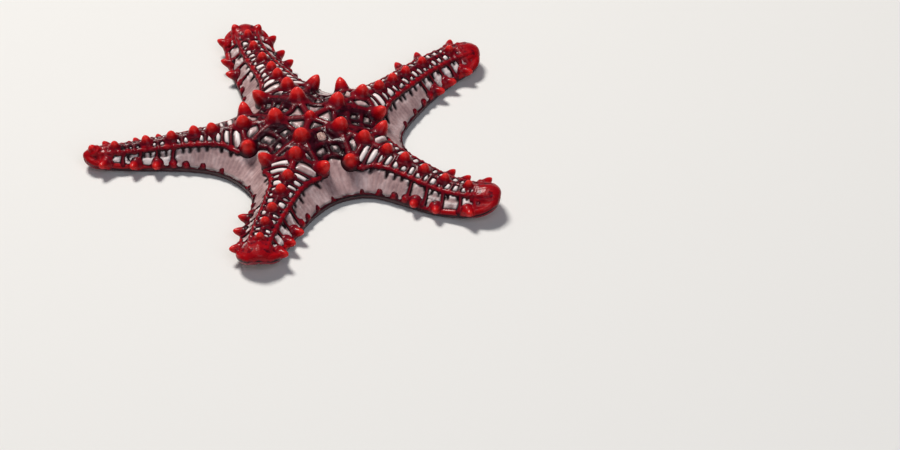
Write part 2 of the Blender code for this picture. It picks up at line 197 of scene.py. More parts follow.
# %% [markdown]
# ### How high it is
#
# The disc is a dome.  Across an arm the back is a rounded roof: a gentle top between two shoulders,
# and steeper flanks down to the margins.  The two profiles are mixed where the disc ends.  Last, the
# end of the arm closes and curls up.

# %% Height of the back


def dome(radius):
    return MARGIN_HEIGHT + (DISC_HEIGHT - MARGIN_HEIGHT) * (1 - (radius / NOTCH_RADIUS) ** DOME_POWER)


def back_profile(t, v):
    """How high the back is across an arm: 1 on the ridge and 0 at the margins."""
    off = np.abs(v)
    wave = 0.5 + 0.5 * np.cos(math.pi * np.minimum(off, 1.02) ** DOME_FULLNESS)
    round_top = 1 - (1 - SHOULDER_HEIGHT) * (off / SHOULDER) ** 2
    flank = SHOULDER_HEIGHT * (1 - off) / (1 - SHOULDER)
    share = smoothstep((t - ROOF_START) / (ROOF_END - ROOF_START))
    return wave + (np.where(off < SHOULDER, round_top, flank) - wave) * share


def settle(arm, t, z):
    """Height z once the end of the arm has closed and curled up."""
    curl = np.maximum(0.0, (t / arm.length - LIFT_START) / (1 - LIFT_START))
    return TIP_MIDDLE + (z - TIP_MIDDLE) * end_taper(arm, t) + arm.lift * curl * curl


def flat_back(arm, t, v):
    """Points of the back, in metres."""
    edge = np.where(t < NOTCH_ALONG, dome(np.minimum(t, NOTCH_ALONG) / math.cos(HALF_SECTOR)),
                    MARGIN_HEIGHT)
    near = DISC_HEIGHT - (DISC_HEIGHT - RIDGE_AT_SEAM) * (np.minimum(t, SEAM) / SEAM) ** 2
    far = (RIDGE_DROP + SLENDER_DROP * (1 - arm.girth)) * along(arm, t)
    z = edge + (near - far - edge) * back_profile(t, v)
    return place(arm, t, v * half_width(arm, t), settle(arm, t, z))


print("ridge of the front arm at the seam, mm:", np.round(flat_back(ARMS[4], SEAM, 0.0) / MM, 1))

# %% [markdown]
# Cords and knobs must lie on the back or stand out from it.  So we also need the direction that
# points straight out.  It is square to two short steps on the surface, one ahead and one across.

# %% Standing proud of the back
STEP_AHEAD, STEP_ACROSS = 0.1, 0.01


def outward(arm, t, v):
    """The direction that points straight out of the back."""
    t = np.clip(t, 0.4, arm.length - 0.4)
    ahead = flat_back(arm, t + STEP_AHEAD, v) - flat_back(arm, t - STEP_AHEAD, v)
    across = flat_back(arm, t, v + STEP_ACROSS) - flat_back(arm, t, v - STEP_ACROSS)
    out = np.cross(ahead, across)
    return out / np.linalg.norm(out, axis=-1, keepdims=True)


def back(arm, t, v, proud=0.0):
    """Points of the back, standing proud of it by so many millimetres."""
    t, v = np.broadcast_arrays(np.asarray(t, float), np.asarray(v, float))
    proud = np.broadcast_to(np.asarray(proud, float), t.shape)
    return flat_back(arm, t, v) + outward(arm, t, v) * proud[..., None] * MM


print("straight out of its flank:", np.round(outward(ARMS[4], 80.0, 0.8), 2))

# %% [markdown]
# ### Wall and underside
#
# Below the margin the side wall bulges a little and turns under.  Each arm has a furrow beneath,
# from the mouth to the tip, which the tube feet come out of.  The five furrows meet in a pit at the
# mouth, and between them the corners of the disc reach in like jaws.

# %% The side wall
WALL_FOOT = 2.2        # how far inside the margin the wall meets the ground
# The wall from the margin down: how far in from the margin, and what share of its height is left.
WALL_CURVE = ((0.0, 1.0), (-0.28, 0.72), (-0.30, 0.42), (0.30, 0.15), (1.15, 0.03), (WALL_FOOT, 0.0))
SKIN_LIFT = 0.05       # keeps the skin of the underside off the floor's surface


def wall(arm, t, side, inset, z):
    """Points of the side wall, moved inwards by inset, square to the outline."""
    turn = np.clip((SEAM - t) / (SEAM - NOTCH_ALONG), 0.0, 1.0)
    step_x = turn * math.cos(HALF_SECTOR)
    step_y = turn * math.sin(HALF_SECTOR) + 1 - turn
    size = np.hypot(step_x, step_y)
    lean = fillet(arm, t)[1]
    facing = (step_x * lean + step_y) / size / np.hypot(lean, 1.0)
    reach = inset * end_taper(arm, t) / facing / size
    across = side * (half_width(arm, t) - step_y * reach)
    return place(arm, t - step_x * reach, across, settle(arm, t, z))


print("foot of the wall at the seam, mm:", np.round(wall(ARMS[4], SEAM, 1.0, WALL_FOOT, 0.0) / MM, 1))

# %% The underside
GROOVE_HALF_WIDTH = 2.6
GROOVE_DEPTH = 3.8
GROOVE_NARROWING = 0.45     # share of width and depth that a furrow loses by the tip
GROOVE_SHARE = 0.2          # share of the columns of faces that lie in the furrow
GROOVE_POWER = 2.5          # 2 would give the furrow a round floor; more makes it flatter
MOUTH_RADIUS = 7.2
MOUTH_DEPTH = 5.2
MOUTH_EDGE = 1.6            # the pit deepens over this distance
JAW_REACH = 0.24            # how far the corners of the disc reach in, as a share of t


def underside(arm, t, share):
    """Points of the underside at t; share runs from -1 at one foot of the wall to +1 at the other."""
    side, off = np.where(share < 0, -1.0, 1.0), np.abs(share)
    fade = (1 - GROOVE_NARROWING * along(arm, t)) * end_taper(arm, t)
    wide = np.minimum(GROOVE_HALF_WIDTH * fade, t * TAN * (1 - JAW_REACH))
    inside = np.clip(off / GROOVE_SHARE, 0.0, 1.0)
    outside = np.clip((off - GROOVE_SHARE) / (1 - GROOVE_SHARE), 0.0, 1.0)
    furrow = GROOVE_DEPTH * fade * np.sqrt(1 - inside ** GROOVE_POWER)
    z = np.maximum(furrow, MOUTH_DEPTH * smoothstep((MOUTH_RADIUS - t) / MOUTH_EDGE)) + SKIN_LIFT
    on_disc = np.where(t < NOTCH_ALONG, 1.0, 0.0)
    at_wall = wall(arm, np.maximum(t, NOTCH_ALONG), side, WALL_FOOT, SKIN_LIFT)
    jaw = 1 - JAW_REACH * outside * (t < MOUTH_RADIUS + 1)
    jaw = jaw * (1 - WALL_FOOT / NOTCH_RADIUS)
    on_line = place(arm, t * jaw, side * t * jaw * TAN, z)
    edge = at_wall + (on_line - at_wall) * on_disc[..., None]
    furrow_edge = place(arm, t, side * wide, settle(arm, t, z))
    flat = furrow_edge + (edge - furrow_edge) * outside[..., None]
    flat[..., 2] = np.where(t < NOTCH_ALONG, z * MM, flat[..., 2])
    hollow = place(arm, t, side * wide * inside, settle(arm, t, z))
    return np.where((off < GROOVE_SHARE)[..., None], hollow, flat)


roof = underside(ARMS[4], np.array([60.0]), np.array([0.0]))[0]
print("roof of the front furrow, mm:", np.round(roof / MM, 1))

# %% [markdown]
# ## The red net and its knobs, as lines first
#
# A cord of the net is a line on the back with a thickness at each point.  We list all the cords
# before making any of them, because the skin needs them too: it sinks a little beside a cord and
# swells between.  Each cord also has a tone, from 0, nearly black red, to 1, scarlet.  No two arms of
# a real animal are alike, so steps and lengths vary a little at random, from a fixed seed.

# %% Lists for cords and knobs, and a way to draw a cord on the back
random.seed(7)
Cord = namedtuple("Cord", "area points ups radii tones")
Knob = namedtuple("Knob", "area foot way radius height tone")
cords, knobs = [], []
CORD_STEP = 0.8            # a point this often
TIP_TONE = 0.42            # all cords take this tone near the end of an arm
TIP_TONE_FROM = 0.72       # from this share of the arm's own run
TIP_TONE_OVER = 0.20       # and over this much of it
WOBBLE_LENGTH = 3.7        # mm of cord for each radian that it wavers from side to side


def thickness(radii, q):
    """Radius along a cord, from its two ends' and its waist's."""
    first, waist, last = radii
    return first + (last - first) * q + (waist - (first + last) / 2) * 4 * q * (1 - q)


def arm_cord(arm, t_ends, v_ends, radii, tone, bow=0.0, wobble=0.0, sunk=0.4):
    """A cord on one arm, straight in t and v between its ends but for a bow along the arm."""
    t0, t1 = t_ends
    v0, v1 = v_ends
    middle = half_width(arm, (t0 + t1) / 2)
    count = max(3, int(math.hypot(t1 - t0, (v1 - v0) * middle) / CORD_STEP))
    q = np.linspace(0, 1, count + 1)
    phase = random.uniform(0, 2 * math.pi)
    t = t0 + (t1 - t0) * q + bow * 4 * q * (1 - q)
    v = v0 + (v1 - v0) * q + wobble * np.sin(phase + q * (t1 - t0) / WOBBLE_LENGTH)
    radius = thickness(radii, q)
    tones = tone + (TIP_TONE - tone) * smoothstep((along(arm, t) - TIP_TONE_FROM) / TIP_TONE_OVER)
    cords.append(Cord(arm.name, back(arm, t, v, -sunk * radius), outward(arm, t, v), radius, tones))


def arm_knob(arm, t, v, way, radius, height, tone=1.0, area=None):
    """A knob on the back of an arm; way is given along the arm, across it and up."""
    foot = Vector(back(arm, t, v))
    turn = heading(arm) + math.atan(centre_line(arm, t)[1])
    way = Matrix.Rotation(turn, 3, "Z") @ Vector(way).normalized()
    knobs.append(Knob(area or arm.name, foot, way, radius, height, tone))


print("radius half way along a cord of 2, 1 and 2 mm:", thickness((2.0, 1.0, 2.0), 0.5))

# %% [markdown]
# ### The knobs
#
# Five large knobs stand round the middle, each with three more behind it: one on the ridge of the
# arm and one leaning out on either side.  A row of smaller ones runs down each ridge.  The margins
# carry spines.  Places and sizes are those of the solids, a little slimmer where the cords and the
# grain of the surface will add to them.

# %% Sizes of the knobs
SLIM = 0.96                        # a knob is this slim, against the solid's
# Radius and height of each kind, in millimetres.
MIDDLE_KNOB = (3.5, 4.4)
INNER_KNOB = (5.4 * SLIM, 7.9)
OUTER_KNOB = (4.7 * SLIM, 7.1)
SIDE_KNOB = (4.6 * SLIM, 9.0)
RIDGE_KNOB = (3.9, 5.8)            # the first of a ridge, before it is made slim
MARGIN_SPINE = (2.9, 6.3)
RIDGE_KNOB_SHRINK = 0.24           # how much smaller the last knob of a ridge is than the first
DULLER_TONE = 0.9                  # of the middle knob, the spines and the extra knobs of the tips
print("an inner knob is", round(2 * INNER_KNOB[0], 1), "mm across and", INNER_KNOB[1], "mm tall")

# %% Places of the knobs, and which way they point
INNER_KNOB_AT = 18.8               # mm from the middle of the disc
OUTER_KNOB_SHARE = 0.295           # of the arm's length
SIDE_KNOB_AT = 35.0                # mm along the arm,
SIDE_KNOB_OFF = 14.2               # and so far to the side of its middle line
SPINE_SHARES = (0.67, 0.765, 0.895)
SPINE_STAGGER = 0.012              # the two margins' spines don't stand quite opposite
SPINE_V = 0.95
LEAN = 0.10                        # how far a knob leans, against its height
# Which way each kind points: its steps along the arm and aside, for one step up.
INNER_KNOB_OUT, OUTER_KNOB_OUT, RIDGE_KNOB_OUT = 0.20, 0.15, 0.12
SIDE_KNOB_OUT, SIDE_KNOB_ASIDE = 0.25, 0.75
# A margin spine lies flatter: its steps along the arm and up, for one step aside.
MARGIN_SPINE_OUT, MARGIN_SPINE_TURN = 0.25, 0.2    # of the first, and what each next one adds
MARGIN_SPINE_UP = 0.36
print("margin spines rise, degrees:", round(math.degrees(math.atan(MARGIN_SPINE_UP))))

# %% Place the knobs and spines


def lean(arm, order):
    """Each knob leans its own way a little: along the arm, and across it."""
    return LEAN * math.sin(2.3 * order + 1.7 * arm.turn), LEAN * math.cos(3.1 * order + arm.turn)


def disc_knobs(arm):
    out, left = lean(arm, 0)
    outer_at = OUTER_KNOB_SHARE * arm.length
    arm_knob(arm, INNER_KNOB_AT, 0, (INNER_KNOB_OUT + out, left, 1), *INNER_KNOB, area="disc")
    arm_knob(arm, outer_at, 0, (OUTER_KNOB_OUT + out, -left, 1), *OUTER_KNOB, area="disc")
    for side in (1, -1):
        v = side * SIDE_KNOB_OFF / float(half_width(arm, SIDE_KNOB_AT))
        way = (SIDE_KNOB_OUT + out, side * SIDE_KNOB_ASIDE, 1)
        arm_knob(arm, SIDE_KNOB_AT, v, way, *SIDE_KNOB, area="disc")


middle_foot = Vector(back(ARMS[0], 0.01, 0.0))
knobs.append(Knob("disc", middle_foot, Vector((0, 0, 1)), *MIDDLE_KNOB, DULLER_TONE))
for arm in ARMS:
    disc_knobs(arm)
    for order, share in enumerate(arm.knobs):
        size = 1 - RIDGE_KNOB_SHRINK * order / (len(arm.knobs) - 1)
        out, left = lean(arm, order + 1)
        radius, height = (measure * size for measure in RIDGE_KNOB)
        arm_knob(arm, share * arm.length, 0, (RIDGE_KNOB_OUT + out, left, 1), radius * SLIM, height)
    for order, share in enumerate(SPINE_SHARES):
        for side in (1, -1):
            t = (share + SPINE_STAGGER * side) * arm.length
            way = (MARGIN_SPINE_OUT + MARGIN_SPINE_TURN * order, side, MARGIN_SPINE_UP)
            arm_knob(arm, t, side * SPINE_V, way, *MARGIN_SPINE, tone=DULLER_TONE)
print(len(knobs), "knobs and spines")

# %% [markdown]
# ### The cords of an arm
#
# Three cords run the length of an arm: one on the ridge and one on each shoulder.  Rungs join them
# like a ladder and leave oval windows of grey skin.  Where a rung meets a shoulder there is a small
# lump, and most rungs go on as a short dark tooth down the flank.  Towards the tip, bars reach from
# shoulder to margin.

# %% Sizes and tones of the cords of an arm
RIDGE_CORD = (2.7, 2.3, 1.7)       # radii of a cord in mm: at its start, its waist and its end
SHOULDER_CORD = (1.9, 1.6, 1.9)
RUNG = (1.9, 1.15, 1.8)
TOOTH = (1.3, 0.75, 0.4)
BAR = (1.7, 1.2, 1.9)
RIDGE_TONE, SHOULDER_TONE, RUNG_TONE, TOOTH_TONE, BAR_TONE = 0.32, 0.25, 0.17, 0.05, 0.22
SHOULDER_PIECE = 6                 # mm: about how long a piece of the shoulder cord is
SHOULDER_SETTLES = 16.0            # mm over which it comes to the shoulder line
SHOULDER_REACH = 0.955             # share of the arm's length where it ends
print("a rung is", 2 * RUNG[1], "mm thick at its waist")

# %% Shoulder cords


def shoulder_at(t):
    """v of the shoulder cord: it starts at the side knob and runs on to the shoulder line."""
    start = SIDE_KNOB_OFF / (SIDE_KNOB_AT * TAN)
    return start + (SHOULDER - start) * float(smoothstep((t - SIDE_KNOB_AT) / SHOULDER_SETTLES))


def shoulder_cord(arm, side):
    """A cord along the shoulder, in short pieces because the line isn't straight in t and v."""
    end = SHOULDER_REACH * arm.length
    stops = np.linspace(SIDE_KNOB_AT, end, int((end - SIDE_KNOB_AT) / SHOULDER_PIECE))
    for near, far in zip(stops, stops[1:]):
        ends = [side * shoulder_at(stop) for stop in (near, far)]
        arm_cord(arm, (near, far), ends, SHOULDER_CORD, SHOULDER_TONE)


print("v of the shoulder cord, from the side knob on:",
      [round(shoulder_at(t), 2) for t in (SIDE_KNOB_AT, SEAM, ROOF_END)])

# %% Spacing of the rungs, teeth and bars
# Steps and slants are in mm along the arm.  Where a name holds two numbers, one between them is drawn.
RUNGS_FROM, RUNGS_END = SEAM - 3.0, 0.94   # in mm, and as a share of the arm's length
RUNG_STEP, RUNG_CROWDING = 4.7, 0.12       # the second is the share of a step that is lost by the tip
RUNG_SLANTS, RUNG_BOWS = (-0.3, 1.0), (0.1, 0.6)
RUNG_LUMP = 1.6                            # radius of the lump where a rung ends
RUNG_LUMP_HEIGHTS, RUNG_LUMP_TONES = (0.9, 1.7), (0.28, 0.5)
TOOTH_CHANCE = 0.8                         # share of the rungs that go on as a tooth
TOOTH_LENGTH, TOOTH_SHRINK = 3.0, 0.35     # mm, and the share of it that is lost by the tip
TOOTH_LENGTHS, TOOTH_SLANTS = (0.75, 1.3), (-0.3, 0.8)     # the lengths are shares of that length
BARS_FROM, BARS_END = 0.60, 0.93           # shares of the arm's length
BAR_STEP, BAR_CROWDING = 9.5, 0.45
CROWD_FROM, CROWD_OVER = 0.5, 0.4          # bars crowd from this share of the arm's run, over this much
BAR_SLANT, BAR_BOW, BAR_TO = 1.5, 0.6, 0.98        # BAR_TO is the v where a bar ends
print("rungs of the longest arm, on each side, about:",
      round((RUNGS_END * max(arm.length for arm in ARMS) - RUNGS_FROM) / RUNG_STEP))

# %% Rungs and bars


def rungs(arm, side):
    t = RUNGS_FROM + (RUNG_STEP / 2 if side > 0 else 0)
    while t < RUNGS_END * arm.length:
        shoulder = side * shoulder_at(t)
        s = float(along(arm, t))
        end = t + random.uniform(*RUNG_SLANTS)
        arm_cord(arm, (t, end), (0, shoulder), RUNG, RUNG_TONE, bow=random.uniform(*RUNG_BOWS))
        arm_knob(arm, end, shoulder, (0, side * 0.6, 1), RUNG_LUMP, random.uniform(*RUNG_LUMP_HEIGHTS),
                 tone=random.uniform(*RUNG_LUMP_TONES))
        if random.random() < TOOTH_CHANCE:
            length = TOOTH_LENGTH * (1 - TOOTH_SHRINK * s) * random.uniform(*TOOTH_LENGTHS)
            reach = side * length / float(half_width(arm, t))
            arm_cord(arm, (end, end + random.uniform(*TOOTH_SLANTS)), (shoulder, shoulder + reach),
                     TOOTH, TOOTH_TONE)
        t += RUNG_STEP * (1 - RUNG_CROWDING * s) * random.uniform(0.92, 1.08)


def bars(arm, side):
    t = BARS_FROM * arm.length
    while t < BARS_END * arm.length:
        s = float(along(arm, t))
        arm_cord(arm, (t, t + BAR_SLANT), (side * shoulder_at(t), side * BAR_TO), BAR, BAR_TONE,
                 bow=BAR_BOW)
        crowded = BAR_CROWDING * smoothstep((s - CROWD_FROM) / CROWD_OVER)
        t += BAR_STEP * (1 - crowded) * random.uniform(0.9, 1.1)


print("bars reach over this much of each arm, mm:",
      [round((BARS_END - BARS_FROM) * arm.length, 1) for arm in ARMS])

# %% Draw the cords of the arms
RIDGE_CORD_FROM = SEAM - 2
RIDGE_CORD_SHORT = 4.6             # the ridge cord ends this far before the arm does
RIDGE_WOBBLE = 0.012               # how far it wavers, in v
for arm in ARMS:
    arm_cord(arm, (RIDGE_CORD_FROM, arm.length - RIDGE_CORD_SHORT), (0, 0), RIDGE_CORD, RIDGE_TONE,
             wobble=RIDGE_WOBBLE, sunk=0.55)
    for side in (1, -1):
        shoulder_cord(arm, side)
        rungs(arm, side)
        bars(arm, side)
print(len(cords), "cords on the arms so far")

# %% [markdown]
# ### The beaded margins
#
# A dark beaded line follows each margin, thicker and redder towards the tip, with a few lumps where
# no spine stands.  At the end it runs round the tip as a loop.

# %% The line of a margin
MARGIN_LINE = 0.78     # height of the line, as a share of the margin's height
LINE_THIN, LINE_THICKENS = 0.95, 1.65      # its radius near the disc, and what it gains by the tip
THICKENS_FROM, THICKENS_OVER = 0.30, 0.6   # it gains from this share of the arm's run, over this much
LINE_SUNK, LINE_PROUD = 0.62, 0.4          # sunk by this share of its radius, less so many mm
LINE_TONE, LINE_REDDENS = 0.14, TIP_TONE - 0.08    # its tone near the disc, and what it gains
REDDENS_FROM, REDDENS_OVER = 0.36, 0.4     # the same two shares for the tone
BEAD, BEAD_GROWS = 3.1, 0.7                # mm from bead to bead, and how much longer by the tip
BEAD_SWELL, BEAD_FADES = 0.12, 0.06        # how much thicker a bead is, and how much less by the tip
MARGIN_LUMPS = (0.40, 0.48, 0.555, 0.61)   # shares of the arm's length
MARGIN_LUMP_SIZE, MARGIN_LUMP_GROWS = 1.3, 0.3     # radius of the first, and what each next one adds


def margin_thickness(arm, s):
    thicker = LINE_THICKENS * smoothstep((s - THICKENS_FROM) / THICKENS_OVER)
    return (LINE_THIN + thicker) * arm.girth ** 0.7


def margin_inset(arm, s):
    """How far inside the outline the line lies, so that it stands out a little."""
    return LINE_SUNK * margin_thickness(arm, s) - LINE_PROUD


def margin_cord(arm, t, line, side):
    s = along(arm, t)
    beads = 1 + (BEAD_SWELL - BEAD_FADES * s) * np.sin(2 * math.pi * t / (BEAD * (1 + BEAD_GROWS * s)))
    tones = LINE_TONE + LINE_REDDENS * smoothstep((s - REDDENS_FROM) / REDDENS_OVER)
    cords.append(Cord(arm.name, line, outward(arm, t, side), margin_thickness(arm, s) * beads, tones))


def margin_line(arm, side):
    t = np.arange(NOTCH_ALONG - 0.01, arm.length - TIP_ROUND + 0.4, CORD_STEP * 0.7)
    line = wall(arm, t, side, margin_inset(arm, along(arm, t)), MARGIN_LINE * MARGIN_HEIGHT)
    past_seam = line[:1] - (line[1] - line[0]) * 1.5      # overlaps the next arm's line a little
    margin_cord(arm, np.append(t[0], t), np.append(past_seam, line, axis=0), side * 1.0)
    for order, share in enumerate(MARGIN_LUMPS):
        size = MARGIN_LUMP_SIZE + MARGIN_LUMP_GROWS * order
        arm_knob(arm, share * arm.length, side * 0.96, (0, side, 0.5), size, 0.75 * size,
                 tone=0.25 + 0.07 * order)


print("radius of the margin line by the disc and at the tip, mm:",
      [round(float(margin_thickness(ARMS[0], s)), 2) for s in (0.0, 1.0)])

# %% The loop round a tip
LOOP_INSET = 2.5       # the loop lies this far inside the outline
LOOP_RISE = 1.3        # and climbs this far at the end, clear of the underside
LOOP_POINTS = 40


def tip_loop(arm):
    turn = np.linspace(-math.pi / 2, math.pi / 2, LOOP_POINTS)
    start = arm.length - TIP_ROUND
    wide = float(half_width(arm, start)) - float(margin_inset(arm, 1.0))
    t = start + (TIP_ROUND - LOOP_INSET) * np.cos(turn) ** (2 / TIP_POWER)
    u = wide * np.sign(np.sin(turn)) * np.abs(np.sin(turn)) ** (2 / TIP_POWER)
    z = settle(arm, t, MARGIN_LINE * MARGIN_HEIGHT) + LOOP_RISE * np.cos(turn)
    margin_cord(arm, t, place(arm, t, u, z), u / wide)


print("the loop stops", LOOP_INSET, "mm before the arm's end and climbs", LOOP_RISE, "mm")

# %% [markdown]
# ### The swollen tips
#
# At the tip all windows close and the skin is one smooth crimson swelling.  Thick cords laid side by
# side and across each other do that: fused and smoothed later, they become soft folds.  A few tips
# have a knob or two more.

# %% The folds of a tip
FOLD_THICK = 3.4       # radius of the folds that make a tip's smooth end
LONG_FOLD = (0.45, 1.0, 0.75)         # its shares, for the radii of a fold that runs along the arm
CROSS_FOLD = (0.6, 0.75, 0.6)         # and of one that runs across
FOLDS_FROM = 0.895     # share of the length where the long ones begin
FOLDS_SHORT = 1.3      # and how far before the arm's end they stop
FOLD_COUNT, FOLD_SPREAD = 8, 0.84     # how many, and up to which v
CROSS_FOLDS = (0.4, 1.4, 3.0, 5.0)    # how far before the end the others lie
CROSS_SPREAD = 0.88
FOLD_SUNK = 0.74       # share of its radius that a fold is sunk by
EXTRA_KNOBS = (("back_left", 0.955, 0.5), ("back_left", 0.95, -0.6), ("left", 0.955, 0.0))
EXTRA_KNOB = (2.8, 3.6)               # radius and height


def fold(arm, t_ends, v_ends, shares):
    radii = [FOLD_THICK * arm.girth * share for share in shares]
    arm_cord(arm, t_ends, v_ends, radii, TIP_TONE, sunk=FOLD_SUNK)


def tip_folds(arm):
    for v in np.linspace(-FOLD_SPREAD, FOLD_SPREAD, FOLD_COUNT):
        begin = FOLDS_FROM * arm.length - random.uniform(1.0, 3.5)
        fold(arm, (begin, arm.length - FOLDS_SHORT), (v, v), LONG_FOLD)
    for short in CROSS_FOLDS:
        t = arm.length - short
        fold(arm, (t, t), (-CROSS_SPREAD, CROSS_SPREAD), CROSS_FOLD)


print("folds of each tip:", FOLD_COUNT, "along it and", len(CROSS_FOLDS), "across")

# %% Draw the margins and the tips
for arm in ARMS:
    for side in (1, -1):
        margin_line(arm, side)
    tip_loop(arm)
    tip_folds(arm)
    for name, share, v in EXTRA_KNOBS:
        if name == arm.name:
            arm_knob(arm, share * arm.length, v, (0.5, v, 1), *EXTRA_KNOB, tone=DULLER_TONE)
print(len(cords), "cords on the arms")

# %% [markdown]
# ### The cords of the disc
#
# From the middle knob a spoke runs to each large knob, and on to the three behind it.  Between two
# arms, arcs that sag towards the middle join the spokes, the outermost from side knob to side knob,
# and short links between the arcs leave oval windows.  The arcs are easiest in plain x and y, so one
# helper finds the arm and the v below any such point.

# %% A way to draw a cord on the disc
DISC_CORD_SUNK = 0.5       # share of its radius that a cord of the disc is sunk by


def drape(x, y, proud):
    """Points of the back under x and y, in millimetres from the middle, and which way is out."""
    points, ups = np.zeros(x.shape + (3,)), np.zeros(x.shape + (3,))
    angle = np.arctan2(y, x)
    for arm in ARMS:
        off = (angle - heading(arm) + math.pi) % (2 * math.pi) - math.pi
        here = np.abs(off) <= HALF_SECTOR + 1e-6
        reach = np.hypot(x, y)[here]
        t = np.maximum(reach * np.cos(off[here]), 0.05)
        v = np.clip(reach * np.sin(off[here]) / half_width(arm, t), -1, 1)
        points[here] = back(arm, t, v, proud[here])
        ups[here] = outward(arm, t, v)
    return points, ups


def polar(radius, angle):
    """x and y of a point so far from the middle, in that direction."""
    return np.array((radius * math.cos(angle), radius * math.sin(angle)))


def disc_cord(start, end, radii, tone, through=None):
    """A cord on the disc from start to end, bent so that it passes through a third point."""
    start, end = np.array(start, float), np.array(end, float)
    pull = np.zeros(2) if through is None else through - (start + end) / 2
    count = max(4, int(np.linalg.norm(end - start) / CORD_STEP))
    q = np.linspace(0, 1, count + 1)
    q_column = q[:, None]
    path = start + (end - start) * q_column + pull * 4 * q_column * (1 - q_column)
    radius = thickness(radii, q)
    points, ups = drape(path[:, 0], path[:, 1], -DISC_CORD_SUNK * radius)
    cords.append(Cord("disc", points, ups, radius, np.full(len(q), tone)))


x, y = polar(30.0, heading(ARMS[4]))
print("the back 30 mm out on the front arm, mm:",
      np.round(drape(np.array([x]), np.array([y]), np.zeros(1))[0][0] / MM, 1))

# %% Spokes
SPOKE = (3.2, 2.6, 3.2)
ARC = (2.8, 2.25, 2.8)
LINK = (2.5, 1.9, 2.5)
SPOKE_TONES = (0.22, 0.25, 0.25)                         # of the stretches from knob to knob
SIDE_SPOKE_TONE, SIDE_LINK_TONE = 0.20, 0.15
SIDE_TURN = math.atan2(SIDE_KNOB_OFF, SIDE_KNOB_AT)      # where a side knob stands, seen from the
SIDE_REACH = math.hypot(SIDE_KNOB_AT, SIDE_KNOB_OFF)     # middle of the disc


def spokes(arm):
    turn = heading(arm)
    inner = polar(INNER_KNOB_AT, turn)
    outer = polar(OUTER_KNOB_SHARE * arm.length, turn)
    stops = ((0, 0), inner, outer, polar(SEAM, turn))
    for start, end, tone in zip(stops, stops[1:], SPOKE_TONES):
        disc_cord(start, end, SPOKE, tone)
    for side in (1, -1):
        spot = polar(SIDE_REACH, turn + side * SIDE_TURN)
        disc_cord(inner, spot, SPOKE, SIDE_SPOKE_TONE)
        disc_cord(outer, spot, ARC, SIDE_SPOKE_TONE, through=(outer + spot) / 2 * 1.03)
        disc_cord((inner + outer) / 2, inner + (spot - inner) * 0.5, LINK, SIDE_LINK_TONE)


print("a side knob stands, from the middle:", round(SIDE_REACH, 1), "mm and",
      round(math.degrees(SIDE_TURN), 1), "degrees off the ridge")

# %% Radii of the arcs, and places of the links
PLATE_AFTER = 4                            # the sieve plate lies between this arm and the next
RING, RING_AT_PLATE = 13.2, 11.2           # radius of the innermost arc half way between two arms
# The other arcs' radii there, for the stretch between each arm and the next.
ARCS = ((20.5, 27.5, 34.5), (21.0, 28.0), (20.5, 26.5, 32.5), (21.5, 29.0), (21.0, 28.5))
# Where the links stand, in radians off the half way line: for two arcs, and for three.
LINKS = {2: ((-0.20, 0.17), (-0.30, 0.02, 0.27)),
         3: ((-0.22, 0.17), (-0.27, 0.0, 0.25), (-0.24, -0.03, 0.22))}
LINK_FAN = 1.2                             # a link's foot stands off the half way line this much more
LINK_FOOT_SAG, LINK_TOP_SAG = 0.48, 0.8    # mm of sag of the arcs that its ends meet
EDGE_TEETH = (-0.22, 0.19)                 # as LINKS, for the teeth on the outermost arc
EDGE_TOOTH, EDGE_TOOTH_LENGTHS = (1.5, 0.9, 0.4), (3.0, 4.2)
EDGE_SAG = 1.2
RING_TONE, ARC_TONE, LINK_TONE = 0.18, 0.14, 0.10
print("arcs from each arm to the next, with the innermost:", [len(radii) + 1 for radii in ARCS])

# %% Arcs and links between the arms


def sag(off):
    """How much further out an arc lies when we move off the half way line."""
    return (off / 0.2) ** 2


def arcs_and_links(arm):
    turn = heading(arm)
    half_way, other = turn + HALF_SECTOR, turn + 2 * HALF_SECTOR
    ring = RING_AT_PLATE if arm.turn == PLATE_AFTER else RING
    inner, other_inner = polar(INNER_KNOB_AT, turn), polar(INNER_KNOB_AT, other)
    near_side, far_side = polar(SIDE_REACH, turn + SIDE_TURN), polar(SIDE_REACH, other - SIDE_TURN)
    disc_cord(inner, other_inner, ARC, RING_TONE, through=polar(ring, half_way))
    radii = ARCS[arm.turn]
    for order, (low, radius) in enumerate(zip((ring,) + radii, radii)):
        share = (order + 1) / len(radii)
        disc_cord(inner + (near_side - inner) * share, other_inner + (far_side - other_inner) * share,
                  ARC, ARC_TONE, through=polar(radius, half_way))
        for off in LINKS[len(radii)][order]:
            disc_cord(polar(low + LINK_FOOT_SAG * sag(off), half_way + off * LINK_FAN),
                      polar(radius + LINK_TOP_SAG * sag(off), half_way + off), LINK, LINK_TONE)
    for off in EDGE_TEETH:
        start = radii[-1] + EDGE_SAG * sag(off)
        end = start + random.uniform(*EDGE_TOOTH_LENGTHS)
        disc_cord(polar(start, half_way + off), polar(end, half_way + off), EDGE_TOOTH, TOOTH_TONE)


for arm in ARMS:
    spokes(arm)
    arcs_and_links(arm)
print(len(cords), "cords in all")

# %% [markdown]
# ## The skin
#
# The skin is one closed piece without seams.  It could be sculpted, but the formula is at hand, so
# each stretch starts as a flat grid, and every corner of the grid is moved to its place on the
# animal.  The stretches are joined and their edges merged.  Before that, each corner gets a few
# numbers, called attributes, which tell the material where on the body it is.

# %% Helpers to select and join


def deselect():
    if bpy.context.object and bpy.context.object.mode != "OBJECT":
        bpy.ops.object.mode_set(mode="OBJECT")
    bpy.ops.object.select_all(action="DESELECT")


def pick(pieces):
    """Select these objects alone, and make the first one active."""
    deselect()
    for piece in pieces:
        piece.select_set(True)
    bpy.context.view_layer.objects.active = pieces[0]


